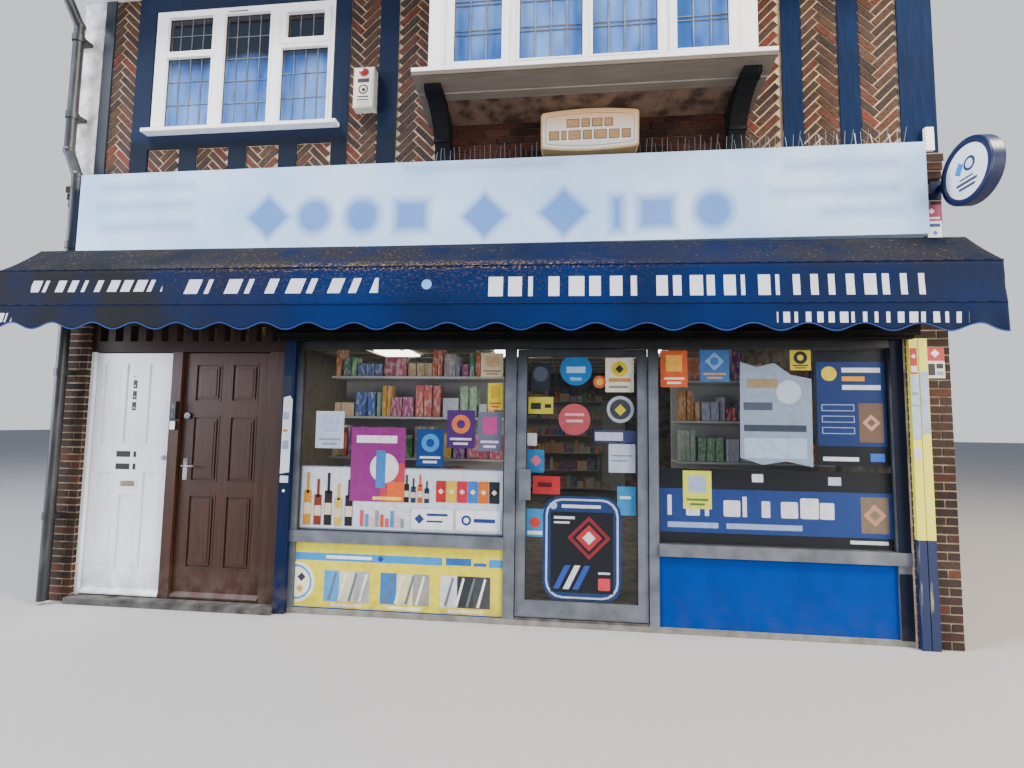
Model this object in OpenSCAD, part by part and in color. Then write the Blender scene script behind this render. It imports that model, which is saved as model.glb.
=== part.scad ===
// Corner shop building: a hollow two-storey end house with a shop below and flats above.
// Millimetres. X runs along the street front, Y runs back from the street, Z is up.
// The origin is the middle of the plan, on the ground.

/* [Building] */
// Width of the street front
front_w = 7190; // [7000:10:7500]
// Depth from the street wall to the rear wall
depth = 8000; // [7000:50:10000]
// Thickness of the brick walls
wall_t = 215; // [200:5:290]
// Height of the shop floor above the ground
floor_h = 40; // [30:2:60]
// Top of the first floor
first_floor_z = 2950; // [2880:10:3050]
// Thickness of the first floor with its joists
floor_t = 250; // [200:10:300]
// Top of the front and rear walls
eaves_z = 5650; // [5600:10:6000]
// Thickness of the upstairs ceiling
ceiling_t = 100; // [60:10:150]
// Height of the upstairs ceiling above the first floor
upper_room_h = 2400; // [2330:10:2500]

/* [Roof] */
// Pitch of both roof slopes in degrees
roof_pitch = 38; // [30:1:45]
// Thickness of battens and tiles, square to the slope
roof_t = 110; // [80:5:150]
// How far the eaves stand out from the walls
eaves_out = 250; // [200:10:320]
// How far the roof stands out over the gable
verge_out = 60; // [40:5:100]
// Depth of the eaves and gable boards
eaves_board_h = 115; // [90:5:140]
// Thickness of the eaves boards
eaves_board_t = 22; // [18:1:30]
// Thickness of the boards along the gable
gable_board_t = 25; // [18:1:30]
// Outer radius of the half round gutter
gutter_r = 56; // [50:1:65]
// Outer diameter of the downpipes
pipe_d = 80; // [65:1:84]
// Width of the chimney stack along the street
chimney_w = 450; // [400:10:560]
// Length of the chimney stack across the ridge
chimney_l = 900; // [700:10:1100]
// Height of the chimney stack above the ridge
chimney_h = 900; // [700:10:1200]

/* [Brick piers] */
// Width of the pier at each end of the shop
pier_w = 305; // [300:5:340]
// Depth of each pier
pier_d = 328; // [300:1:440]
// Height at which the upper wall starts
pier_top = 3580; // [3560:5:3620]
// Height of one brick course with its joint
course = 61; // [58:1:75]
// How far each corbelled course steps out
corbel_step = 15; // [10:1:15]

/* [Flat doors] */
// Top of the concrete step at the two flat doors
step_z = 50; // [45:1:110]
// How far the step reaches in front of the wall
step_out = 60; // [40:5:120]
// Width of the door jamb beside the party pier
jamb_w = 34; // [32:1:60]
// Width of the post between the two flat doors
mid_post_w = 90; // [80:1:110]
// Width of the jamb next to the blue post
end_jamb_w = 160; // [120:1:200]
// Width of the white flat door
flat_door_w = 720; // [640:1:740]
// Width of the brown side door
side_door_w = 773; // [720:1:800]
// Top of both flat doors
door_top = 2095; // [2000:5:2110]
// Thickness of the timber door leaves
door_t = 44; // [38:1:54]
// Running gap round the timber doors
door_gap = 7; // [7:1:9]
// Depth of the recessed door panels
panel_recess = 9; // [5:1:12]

/* [Shopfront] */
// Width of the blue post beside the left shop window
blue_post_w = 96; // [80:1:110]
// Width of the aluminium stiles at the outer ends of the shopfront
stile_w = 48; // [40:1:90]
// Width of the left shop window glass
left_glass_w = 1690; // [1600:5:1750]
// Width of the mullion on the left of the shop door
left_mullion_w = 87; // [70:1:100]
// Width of the shop doorway
shop_doorway_w = 1023; // [960:1:1050]
// Width of the post on the right of the shop door
right_mullion_w = 71; // [60:1:90]
// Width of the dark end post at the right pier
end_post_w = 90; // [70:1:110]
// Underside of the shop window sills
sill_z = 560; // [500:5:620]
// Height of the shop window sills
sill_h = 90; // [60:1:110]
// Underside of the shopfront head
head_z = 2130; // [2110:5:2140]
// Height of the shopfront head
head_h = 60; // [50:1:70]
// Depth of the aluminium sections
section_d = 60; // [50:1:70]
// Width of the shop door's stiles
leaf_stile_w = 74; // [60:1:90]
// Height of the shop door's top rail
leaf_top_h = 48; // [40:1:70]
// Height of the shop door's bottom rail
leaf_bottom_h = 125; // [100:1:160]
// Running gap round the shop door
shop_gap = 8; // [6:1:10]
// Thickness of the aluminium threshold
threshold_t = 12; // [8:1:14]
// Thickness of the glass
glass_t = 8; // [6:1:10]
// Height of the shutter box over the shopfront
shutter_h = 210; // [190:5:230]
// How far the shutter box stands out from the wall
shutter_out = 180; // [150:5:190]

/* [Fascia and canopy] */
// Underside of the fascia sign
fascia_z = 2910; // [2900:5:2930]
// Height of the fascia sign
fascia_h = 675; // [640:5:675]
// How far the fascia sign stands out from the wall
fascia_out = 200; // [195:1:215]
// Distance from the right end of the front to the end of the fascia sign
fascia_inset = 225; // [200:5:260]
// How far the upper canopy bar stands out from the wall
canopy_out = 500; // [470:5:560]
// Height of the upper canopy bar
canopy_top_z = 2645; // [2600:5:2680]
// Height of the canopy's front face between its two bars
canopy_face_h = 275; // [240:5:290]
// Depth of the valance below the lower bar
valance_h = 190; // [160:5:210]
// Height of each scallop
scallop_h = 50; // [30:2:70]
// Number of scallops
scallops = 21; // [17:1:25]
// Thickness of the canopy cloth solid
cloth_t = 5; // [4:1:8]
// Outer diameter of the canopy bars
bar_d = 26; // [20:1:30]
// How far the canopy leans down to the right, in degrees
canopy_lean = 0.4; // [0:0.1:0.5]

/* [Upper front] */
// Thickness of the timber boards on the upper wall
board_t = 25; // [18:1:30]
// Width of the strip of party wall at the left end
party_strip_w = 312; // [306:1:330]
// Width of the dark post on the party line
party_post_w = 100; // [80:1:110]
// Width of the herringbone panel left of the window
panel_a_w = 241; // [200:1:260]
// Width of the post left of the window
post_a_w = 161; // [130:1:180]
// Clear width between the posts beside the window
window_bay_w = 1706; // [1690:1:1740]
// Width of the post right of the window
post_b_w = 134; // [110:1:150]
// Width of the panel that carries the alarm box
panel_b_w = 264; // [240:1:280]
// Width of the post between the alarm panel and the bay panel
post_c_w = 164; // [130:1:180]
// Width of the post behind each bay bracket
bracket_post_w = 70; // [60:1:90]
// Width of the corner post
corner_post_w = 250; // [220:1:270]
// Width of the panel beside the corner post
panel_e_w = 284; // [260:1:300]
// Width of the two posts right of the bay
post_d_w = 148; // [120:1:160]
// Width of the panel between those posts
panel_d_w = 270; // [240:1:290]
// Width of each small panel below the window
small_panel_w = 300; // [270:1:310]
// Underside of the rail below the window
rail_z = 3903; // [3880:1:3930]

/* [Upper windows] */
// Underside of the window sill
window_sill_z = 4030; // [4010:1:4050]
// Top of the window frame
window_top_z = 5200; // [5150:5:5210]
// Depth of the plastic window frames
frame_d = 65; // [55:1:75]
// Width of the window's outer frame and sash
casement_w = 110; // [90:1:120]
// Thickness of the sill board
sill_t = 30; // [24:1:36]
// How far the sill stands out
sill_out = 80; // [60:1:100]

/* [Bay window] */
// How far the middle of the bay lies right of the middle of the front
bay_x = 967; // [950:1:985]
// Width of the bay window frame
bay_w = 2366; // [2300:2:2400]
// How far the bay sill stands out from the wall
bay_out = 500; // [460:5:540]
// How far the bay sill stands out past the frame
bay_sill_over = 50; // [40:1:60]
// Underside of the bay at its front
bay_front_z = 4090; // [4080:1:4110]
// Underside of the bay at the wall
bay_back_z = 4000; // [3980:1:4030]
// Underside of the bay window frame
bay_frame_z = 4140; // [4136:1:4150]
// Width of the bay's corner posts with their sashes
bay_corner_w = 188; // [160:1:200]
// Width of the bay's side mullions
bay_mullion_w = 128; // [110:1:140]
// Width of the bay's middle mullion
bay_middle_w = 72; // [60:1:90]
// Width of the bay's two outer panes
bay_outer_w = 366; // [330:1:400]
// Height of the bay's bottom and top frame
bay_rail_h = 62; // [50:1:80]
// Thickness of the bay roof at its front edge
bay_roof_t = 36; // [30:1:60]
// Width of each bay bracket
bracket_w = 125; // [100:1:140]

/* [Hidden] */
$fn = 48;

// Ends of the building and of its rooms
x_l = -front_w / 2;
x_r = front_w / 2;
front = -depth / 2;
rear = depth / 2;
room_l = x_l + wall_t;
room_r = x_r - wall_t;
room_front = front + wall_t;
room_rear = rear - wall_t;
floor_under = first_floor_z - floor_t;
ceiling_z = first_floor_z + upper_room_h;

// Roof lines: the underside passes through the outer top edge of both walls
function under(y) = eaves_z + (depth / 2 - abs(y)) * tan(roof_pitch);
roof_v = roof_t / cos(roof_pitch);
apex = under(0);
eaves_y = front - eaves_out;
soffit_z = under(eaves_y) - eaves_board_h;
soffit_t = 15;
gutter_drop = 20;
roof_gap = 0.3;
chimney_x1 = x_l + chimney_w;
chimney_z0 = under(chimney_l / 2) - 200;

// Plan of the ground floor front, worked out from left to right
pier_l1 = x_l + pier_w;
pier_r0 = x_r - pier_w;
flat_x0 = pier_l1 + jamb_w + door_gap;
flat_x1 = flat_x0 + flat_door_w;
mid_x0 = flat_x1 + door_gap;
mid_x1 = mid_x0 + mid_post_w;
side_x0 = mid_x1 + door_gap;
side_x1 = side_x0 + side_door_w;
end_jamb_x0 = side_x1 + door_gap;
blue_x0 = end_jamb_x0 + end_jamb_w;
blue_x1 = blue_x0 + blue_post_w;
left_glass_x0 = blue_x1 + stile_w;
left_glass_x1 = left_glass_x0 + left_glass_w;
doorway_x0 = left_glass_x1 + left_mullion_w;
doorway_x1 = doorway_x0 + shop_doorway_w;
right_glass_x0 = doorway_x1 + right_mullion_w;
right_glass_x1 = pier_r0 - end_post_w;

// Depths of the ground floor front
floor_set = 20;
section_y0 = front + floor_set;
section_y1 = section_y0 + section_d;
glass_y0 = section_y0 + (section_d - glass_t) / 2;
sill_lip = 15;
riser_set = 15;
riser_t = 30;
post_out = 20;
jamb_y0 = front + 30;
leaf_y0 = jamb_y0 + 30;
leaf_y1 = leaf_y0 + door_t;
jamb_y1 = leaf_y1;
leaf_z0 = step_z + door_gap;
jamb_z1 = door_top + door_gap;
shutter_z0 = head_z + head_h;
shutter_z1 = shutter_z0 + shutter_h;

// Shop door
shop_leaf_t = 44;
shop_leaf_y1 = section_y1;
shop_leaf_y0 = shop_leaf_y1 - shop_leaf_t;
shop_leaf_x0 = doorway_x0 + shop_gap;
shop_leaf_x1 = doorway_x1 - shop_gap;
shop_leaf_z0 = floor_h + threshold_t + shop_gap;
shop_leaf_z1 = head_z - shop_gap;
shop_pane_x = [shop_leaf_x0 + leaf_stile_w, shop_leaf_x1 - leaf_stile_w];
shop_pane_z = [shop_leaf_z0 + leaf_bottom_h, shop_leaf_z1 - leaf_top_h];
shop_pane_y0 = shop_leaf_y0 + (shop_leaf_t - glass_t) / 2;
handle_z = 947;
handle_h = 235;
handle_w = 88;
handle_out = 42;
handle_inset = 26;

// Butt hinges on the inner faces of the doors
hinge_r = 8;
hinge_h = 40;
hinge_gap = 0.5;
pin_r = 3;
pin_gap = 0.1;
plate_w = 35;
plate_t = 3;
hinge_z = [250, 1100, 1880];

// Fascia and canopy
fascia_x0 = pier_l1 + 10;
fascia_x1 = x_r - fascia_inset;
fascia_z1 = fascia_z + fascia_h;
canopy_back_y = front - fascia_out - cloth_t;
canopy_back_z = fascia_z - 6;
canopy_face_y = front - canopy_out - 15;
canopy_low_z = canopy_top_z - canopy_face_h;
cloth_gap = 0.3;
arm_t = 8;
arm_h = 30;
arms = 4;

// Posts of the upper front as [left edge, width]
party_post_x = x_l + party_strip_w - party_post_w;
post_a_x = x_l + party_strip_w + panel_a_w;
window_bay_x0 = post_a_x + post_a_w;
window_bay_x1 = window_bay_x0 + window_bay_w;
post_c_x = window_bay_x1 + post_b_w + panel_b_w;
corner_post_x = x_r - corner_post_w;
post_e_x = corner_post_x - panel_e_w - post_d_w;
post_d_x = post_e_x - panel_d_w - post_d_w;
tall_posts = [
    [party_post_x, party_post_w], [post_a_x, post_a_w], [window_bay_x1, post_b_w],
    [post_c_x, post_c_w], [post_d_x, post_d_w], [post_e_x, post_d_w],
    [corner_post_x, corner_post_w]
];
bracket_x = bay_w / 2 + 32 - bracket_w / 2;
bay_post_x = bracket_x + bracket_w / 2 - bracket_post_w / 2 + 20;

// Upper window: panes as [x0, x1, z0, z1]
window_x0 = window_bay_x0 + 13;
window_x1 = window_bay_x1 - 13;
window_y0 = front + 5;
window_z0 = window_sill_z + sill_t;
light_w = (window_x1 - window_x0 - 4 * casement_w + 60) / 3;
light_x = [
    window_x0 + casement_w, window_x0 + 2 * casement_w + light_w,
    window_x0 + 3 * casement_w + 2 * light_w
];
pane_z0 = window_z0 + 52;
pane_z1 = window_top_z - 62;
window_panes = [
    [light_x[0], light_x[0] + light_w, pane_z0, 4758],
    [light_x[0], light_x[0] + light_w, 4811, pane_z1],
    [light_x[1], light_x[1] + light_w, pane_z0, pane_z1],
    [light_x[2], light_x[2] + light_w, pane_z0, 4783],
    [light_x[2] + 40, light_x[2] + light_w - 40, 4865, pane_z1 - 30]
];

// Bay window
function bay_under(y) = bay_back_z + (front - y) * (bay_front_z - bay_back_z) / bay_out;
bay_x0 = bay_x - bay_w / 2;
bay_x1 = bay_x + bay_w / 2;
bay_face_y = front - bay_out + bay_sill_over;
wall_face = front + board_t;
bay_inner_w = (bay_w - bay_middle_w) / 2 - bay_corner_w - bay_mullion_w - bay_outer_w;
bay_lights = [
    [bay_x0 + bay_corner_w, bay_outer_w],
    [bay_x0 + bay_corner_w + bay_outer_w + bay_mullion_w, bay_inner_w],
    [bay_x + bay_middle_w / 2, bay_inner_w],
    [bay_x1 - bay_corner_w - bay_outer_w, bay_outer_w]
];
bay_pane_z = [bay_frame_z + bay_rail_h, window_top_z - bay_rail_h];
bay_side_y = [bay_face_y + frame_d + 70, wall_face - 70];
bay_glass_y = bay_face_y + (frame_d - glass_t) / 2;

// Rear openings as [x0, x1, z0, z1]
rear_door_hole = [1300, 2200, floor_h, 2090];
rear_low_window = [-2200, -600, 1000, 2090];
rear_high_windows = [[-2600, -1300, 3950, 5100], [900, 2200, 3950, 5100]];
rear_frame_w = 60;

// A block between two corners given as ranges
module block(x, y, z) {
    translate([x[0], y[0], z[0]]) cube([x[1] - x[0], y[1] - y[0], z[1] - z[0]]);
}

// A profile drawn in Y and Z, run along X from x0 to x1
module run_x(x0, x1) {
    translate([x0, 0, 0]) rotate([90, 0, 90]) linear_extrude(height = x1 - x0) children();
}

// A frame from a block with its panes cut out, each pane as [x0, x1, z0, z1]
module pane_frame(x, y, z, panes) {
    difference() {
        block(x, y, z);
        for (p = panes) block([p[0], p[1]], [y[0] - 1, y[1] + 1], [p[2], p[3]]);
    }
}

// One sheet of glass in each pane
module pane_glass(y0, panes) {
    for (p = panes) block([p[0], p[1]], [y0, y0 + glass_t], [p[2], p[3]]);
}

// The floor reaches forward between the piers and lies between the walls behind them
module floor_slab() {
    color("darkgray") union() {
        block([pier_l1, pier_r0], [front + floor_set, front + pier_d], [0, floor_h]);
        block([room_l, room_r], [front + pier_d, room_rear], [0, floor_h]);
    }
}

// Concrete step under the flat doors and the shop's aluminium threshold
module thresholds() {
    color("gray") {
        union() {
            block([pier_l1, blue_x0], [front - step_out, front + floor_set], [0, step_z]);
            block([pier_l1, blue_x0], [front + floor_set, jamb_y1], [floor_h, step_z]);
        }
        block([doorway_x0, doorway_x1], [section_y0, section_y1], [floor_h, floor_h + threshold_t]);
    }
}

// Side wall with its gable; the piers fill the notch at its foot
module side_wall(x) {
    difference() {
        run_x(x, x + wall_t) polygon([
            [front + pier_d, 0], [rear, 0], [rear, eaves_z], [0, apex],
            [wall_face, under(wall_face)], [wall_face, pier_top], [room_front, pier_top],
            [room_front, floor_under], [front + pier_d, floor_under]
        ]);
        chimney_block();
    }
}

module party_wall() {
    color("rosybrown") side_wall(x_l);
}

module flank_wall() {
    color("sienna") side_wall(room_r);
}

// Pier that is deeper below the first floor, with three corbelled courses where no sign is
module pier(x0, x1, c0, c1) {
    run_x(x0, x1) polygon([
        [front, 0], [front + pier_d, 0], [front + pier_d, floor_under],
        [room_front, floor_under], [room_front, pier_top], [front, pier_top]
    ]);
    for (i = [1:3]) {
        block([c0, c1], [front - i * corbel_step, front], [pier_top - (4 - i) * course, pier_top]);
    }
}

module brick_piers() {
    color("saddlebrown") {
        pier(x_l, pier_l1, x_l, pier_l1);
        pier(pier_r0, x_r, fascia_x1 + 5, x_r);
    }
}

module rear_wall_lower() {
    color("sienna") pane_frame(
        [room_l, room_r], [room_rear, rear], [0, first_floor_z],
        [rear_door_hole, rear_low_window]
    );
}

module rear_wall_upper() {
    color("sienna") pane_frame(
        [room_l, room_r], [room_rear, rear], [first_floor_z, eaves_z], rear_high_windows
    );
}

module front_wall_upper() {
    color("saddlebrown") pane_frame(
        [room_l, room_r], [wall_face, room_front], [pier_top, eaves_z],
        [
            [window_x0, window_x1, window_sill_z, window_top_z],
            [bay_x0 + frame_d, bay_x1 - frame_d, bay_frame_z, window_top_z]
        ]
    );
}

module shop_lintel() {
    color("dimgray") block([pier_l1, pier_r0], [front, room_front], [shutter_z1, pier_top]);
}

module first_floor() {
    color("burlywood") block(
        [room_l, room_r], [room_front, room_rear], [floor_under, first_floor_z]
    );
}

module ceiling() {
    color("whitesmoke") block(
        [room_l, room_r], [room_front, room_rear], [ceiling_z, ceiling_z + ceiling_t]
    );
}

// One roof slope from the eaves to the ridge
module roof_slope() {
    difference() {
        run_x(x_l, x_r + verge_out) polygon([
            [eaves_y, under(eaves_y)], [0, apex], [0, apex + roof_v],
            [eaves_y, under(eaves_y) + roof_v]
        ]);
        chimney_block();
    }
}

module front_roof() {
    color("brown") roof_slope();
}

module rear_roof() {
    color("brown") mirror([0, 1, 0]) roof_slope();
}

// Round backed ridge tiles that sit on both slopes
module ridge_tiles() {
    ridge_r = 115;
    ridge_drop = 60;
    half = 400;
    top = apex + roof_v;
    fall = half * tan(roof_pitch);
    color("firebrick") run_x(chimney_x1, x_r + verge_out) difference() {
        translate([0, top - ridge_drop]) circle(r = ridge_r);
        polygon([
            [-half, top - fall], [0, top], [half, top - fall], [half, top - half - fall],
            [-half, top - half - fall]
        ]);
    }
}

// The space that the chimney takes out of the roof and the party wall
module chimney_block() {
    block(
        [x_l - 1, chimney_x1], [-chimney_l / 2, chimney_l / 2],
        [chimney_z0, apex + roof_v + chimney_h]
    );
}

// Brick stack with two oversailing courses and two clay pots
module chimney_stack() {
    stack_top = apex + roof_v + chimney_h;
    pot_r = 130;
    pot_h = 380;
    color("sienna") union() {
        block([x_l, chimney_x1], [-chimney_l / 2, chimney_l / 2], [chimney_z0, stack_top]);
        for (i = [1:2]) {
            o = i * 25;
            block(
                [x_l, chimney_x1 + o], [-chimney_l / 2 - o, chimney_l / 2 + o],
                [stack_top - (3 - i) * course, stack_top]
            );
        }
        for (y = [-chimney_l / 4, chimney_l / 4]) {
            translate([x_l + chimney_w / 2, y, stack_top]) difference() {
                cylinder(r1 = pot_r, r2 = pot_r * 0.85, h = pot_h);
                translate([0, 0, 40]) cylinder(r = pot_r * 0.68, h = pot_h);
            }
        }
    }
}

// Eaves board with its soffit back to the wall face
module eaves_profile(face) {
    inner = eaves_y + eaves_board_t;
    polygon([
        [eaves_y, soffit_z], [face, soffit_z], [face, soffit_z + soffit_t],
        [inner, soffit_z + soffit_t], [inner, under(inner) - roof_gap],
        [eaves_y, under(eaves_y) - roof_gap]
    ]);
}

module eaves_boards() {
    color("midnightblue") {
        run_x(x_l, x_r) eaves_profile(wall_face);
        mirror([0, 1, 0]) run_x(x_l, x_r) eaves_profile(front);
    }
}

// Boards that follow the roof along the flank gable
module gable_boards() {
    gable_h = 180;
    color("midnightblue") for (m = [0, 1]) mirror([0, m, 0]) {
        run_x(x_r, x_r + gable_board_t) polygon([
            [eaves_y, under(eaves_y)], [0, apex], [0, apex - gable_h],
            [eaves_y, under(eaves_y) - gable_h]
        ]);
    }
}

// Half round gutter with a flat back against the eaves board
module gutter_profile() {
    wall = 4;
    lip = 10;
    z = under(eaves_y) - gutter_drop;
    translate([eaves_y - gutter_r, z]) {
        difference() {
            circle(r = gutter_r);
            circle(r = gutter_r - wall);
            translate([-gutter_r, 0]) square([2 * gutter_r, gutter_r]);
        }
        translate([gutter_r - wall, -lip]) square([wall, 2 * lip]);
        translate([-gutter_r, -1]) square([wall, lip]);
    }
}

module gutters() {
    color("black") for (m = [0, 1]) mirror([0, m, 0]) run_x(x_l, x_r + 40) gutter_profile();
}

// Drop from the gutter's swan neck to the ground: it runs at top_x above the bend, at x below
// it, and each strap is [height, wall face]
module downpipe(x, top_x, straps) {
    strap_w = 100;
    strap_h = 30;
    foot_gap = 30;
    top_run = 60;
    bend = [pier_top + 60, pier_top + 290];
    socket_d = pipe_d + 12;
    pipe_y = front - 3 * corbel_step - 5 - pipe_d / 2;
    neck_z = soffit_z - 300;
    gutter_z = under(eaves_y) - gutter_drop - gutter_r;
    neck = [0, eaves_y - gutter_r - pipe_y, gutter_z - top_run - neck_z];
    slant = [top_x - x, 0, bend[1] - bend[0]];
    color("#23252b") union() {
        translate([x, pipe_y, foot_gap]) cylinder(d = pipe_d, h = bend[0] - foot_gap);
        translate([x, pipe_y, bend[0]]) {
            sphere(d = socket_d);
            rotate([0, atan(slant[0] / slant[2]), 0]) cylinder(d = pipe_d, h = norm(slant));
        }
        translate([top_x, pipe_y, bend[1]]) {
            sphere(d = socket_d);
            cylinder(d = pipe_d, h = neck_z - bend[1]);
        }
        translate([top_x, pipe_y, neck_z]) {
            sphere(d = socket_d);
            rotate([acos(neck[2] / norm(neck)), 0, 0]) cylinder(d = pipe_d, h = norm(neck));
            translate(neck) {
                sphere(d = socket_d);
                cylinder(d = pipe_d, h = top_run);
            }
        }
        for (s = straps) {
            sx = s[0] > bend[1] ? top_x : x;
            block([sx - strap_w / 2, sx + strap_w / 2], [pipe_y, s[1]], [s[0], s[0] + strap_h]);
            translate([sx, pipe_y, s[0] - strap_h / 2]) cylinder(d = socket_d + 4, h = 2 * strap_h);
        }
    }
}

module downpipes() {
    downpipe(
        x_l + 154, x_l + 54,
        [[700, front], [1900, front], [3000, front], [4180, wall_face], [4900, wall_face]]
    );
    mirror([0, 1, 0]) downpipe(
        x_r - 300, x_r - 300, [[700, front], [1900, front], [3400, front], [4600, front]]
    );
}

// Boards planted on the upper wall: tall posts, the window's rail and short studs
module timber_frame() {
    stud_w = (window_bay_w - 4 * small_panel_w - 20) / 3;
    color("#2a3f5e") union() {
        for (p = tall_posts) {
            block([p[0], p[0] + p[1]], [front, wall_face], [pier_top, soffit_z]);
        }
        for (s = [-1, 1]) {
            c = bay_x + s * bay_post_x;
            block(
                [c - bracket_post_w / 2, c + bracket_post_w / 2], [front, wall_face],
                [pier_top, bay_under(wall_face)]
            );
        }
        block([window_bay_x0, window_bay_x1], [front, wall_face], [rail_z, window_sill_z]);
        block([window_bay_x0, window_bay_x1], [front, wall_face], [window_top_z, soffit_z]);
        for (i = [0:2]) {
            x = window_bay_x0 + 10 + (i + 1) * small_panel_w + i * stud_w;
            block([x, x + stud_w], [front, wall_face], [pier_top, rail_z]);
        }
    }
}

// Plastic window with its projecting sill
module window_frame() {
    color("white") union() {
        pane_frame(
            [window_x0, window_x1], [window_y0, window_y0 + frame_d],
            [window_sill_z, window_top_z], window_panes
        );
        block(
            [window_x0 - 17, window_x1 + 80], [front - sill_out, front],
            [window_sill_z, window_sill_z + sill_t]
        );
        block(
            [window_x0, window_x1], [front - 1, window_y0 + 1],
            [window_sill_z, window_sill_z + sill_t]
        );
    }
}

bay_panes = [for (p = bay_lights) [p[0], p[0] + p[1], bay_pane_z[0], bay_pane_z[1]]];

module window_glass() {
    color("lightblue") {
        pane_glass(window_y0 + (frame_d - glass_t) / 2, window_panes);
        pane_glass(bay_glass_y, bay_panes);
        for (x = [bay_x0, bay_x1 - frame_d]) {
            block(
                [x + (frame_d - glass_t) / 2, x + (frame_d + glass_t) / 2],
                bay_side_y, bay_pane_z
            );
        }
        for (h = concat([rear_low_window], rear_high_windows)) {
            pane_glass(rear - 110, rear_panes(h));
        }
    }
}

// Bay floor with its sill board, sloping soffit and boarded front
module bay_base() {
    color("gainsboro") run_x(bay_x0 - 110, bay_x1 + 110) polygon([
        [wall_face, bay_under(wall_face)], [front - bay_out, bay_front_z],
        [front - bay_out, bay_frame_z], [wall_face, bay_frame_z]
    ]);
}

// Front frame with four lights and a light in each side
module bay_frame() {
    color("white") difference() {
        block([bay_x0, bay_x1], [bay_face_y, wall_face], [bay_frame_z, window_top_z]);
        block(
            [bay_x0 + frame_d, bay_x1 - frame_d], [bay_face_y + frame_d, wall_face + 1],
            [bay_frame_z - 1, window_top_z + 1]
        );
        for (p = bay_panes) {
            block([p[0], p[1]], [bay_face_y - 1, bay_face_y + frame_d + 1], [p[2], p[3]]);
        }
        block([bay_x0 - 1, bay_x1 + 1], bay_side_y, bay_pane_z);
    }
}

module bay_roof() {
    color("slategray") run_x(bay_x0 - 40, bay_x1 + 40) polygon([
        [front - bay_out, window_top_z], [wall_face, window_top_z],
        [wall_face, window_top_z + bay_roof_t + 80],
        [front - bay_out, window_top_z + bay_roof_t]
    ]);
}

// Curved timber brackets that carry the bay
module bay_brackets() {
    foot = 60;
    toe = bay_out - 70;
    foot_z = fascia_z1 + 15;
    top_z = bay_under(front - toe);
    color("#1d2027") for (s = [-1, 1]) {
        run_x(bay_x + s * bracket_x - bracket_w / 2, bay_x + s * bracket_x + bracket_w / 2)
            polygon(concat(
                [[front, foot_z], [front, bay_back_z], [front - toe, top_z]],
                [for (a = [0:10:90]) [
                    front - foot - (toe - foot) * (1 - sin(a)),
                    foot_z + 40 + (top_z - 60 - foot_z - 40) * cos(a)
                ]],
                [[front - foot, foot_z]]
            ));
    }
}

// Lip of a shop window sill in front of its frame
module sill_board(x0, x1) {
    block([x0, x1], [section_y0 - sill_lip, section_y0], [sill_z, sill_z + sill_h]);
}

// Aluminium frame of the left window up to the shop door
module left_shopfront() {
    color("silver") union() {
        pane_frame(
            [blue_x0, doorway_x0], [section_y0, section_y1], [floor_h, shutter_z0],
            [
                [left_glass_x0, left_glass_x1, floor_h - 1, sill_z],
                [left_glass_x0, left_glass_x1, sill_z + sill_h, head_z]
            ]
        );
        sill_board(blue_x1, left_glass_x1);
    }
}

// Aluminium frame of the right window from the shop door to the right pier
module right_shopfront() {
    color("silver") union() {
        pane_frame(
            [doorway_x1, pier_r0], [section_y0, section_y1], [floor_h, shutter_z0],
            [
                [right_glass_x0, right_glass_x1, floor_h - 1, sill_z],
                [right_glass_x0, right_glass_x1, sill_z + sill_h, head_z]
            ]
        );
        sill_board(right_glass_x0, pier_r0);
        jamb_hinges(doorway_x1 - shop_gap / 2, section_y1, 1);
    }
}

module shop_door_head() {
    color("silver") block([doorway_x0, doorway_x1], [section_y0, section_y1], [head_z, shutter_z0]);
}

module shop_glass() {
    color("lightcyan") pane_glass(glass_y0, [
        [left_glass_x0, left_glass_x1, sill_z + sill_h, head_z],
        [right_glass_x0, right_glass_x1, sill_z + sill_h, head_z]
    ]);
}

module stall_risers() {
    y = section_y0 + riser_set;
    color("gold") block([left_glass_x0, left_glass_x1], [y, y + riser_t], [floor_h, sill_z]);
    color("dodgerblue") block([right_glass_x0, right_glass_x1], [y, y + riser_t], [floor_h, sill_z]);
}

module shutter_box() {
    color("#2a2c30") union() {
        block([blue_x0, pier_r0], [front - shutter_out, front], [shutter_z0, shutter_z1]);
        block([blue_x0, pier_r0], [front, section_y1], [shutter_z0, shutter_z1]);
    }
}

// Plate of a hinge; side is 1 where it lies to the right of the pin
module hinge_plate(x, face, side, z) {
    block([min(x, x + side * plate_w), max(x, x + side * plate_w)], [face, face + plate_t], z);
}

// Lower barrels with their pins on a jamb
module jamb_hinges(x, face, side) {
    for (z = hinge_z) {
        translate([x, face + hinge_gap + hinge_r, z]) {
            cylinder(r = hinge_r, h = hinge_h);
            cylinder(r = pin_r, h = 2 * hinge_h - 1);
        }
        hinge_plate(x, face, side, [z, z + hinge_h]);
    }
}

// Upper barrels on a leaf, bored for the pins
module leaf_hinges(x, face, side) {
    for (z = hinge_z) {
        z0 = z + hinge_h + hinge_gap;
        z1 = z + 2 * hinge_h;
        difference() {
            union() {
                translate([x, face + hinge_gap + hinge_r, z0]) cylinder(r = hinge_r, h = z1 - z0);
                hinge_plate(x, face, side, [z0, z1]);
            }
            translate([x, face + hinge_gap + hinge_r, z0 - 1]) {
                cylinder(r = pin_r + pin_gap, h = z1 - z0 + 2);
            }
        }
    }
}

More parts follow.
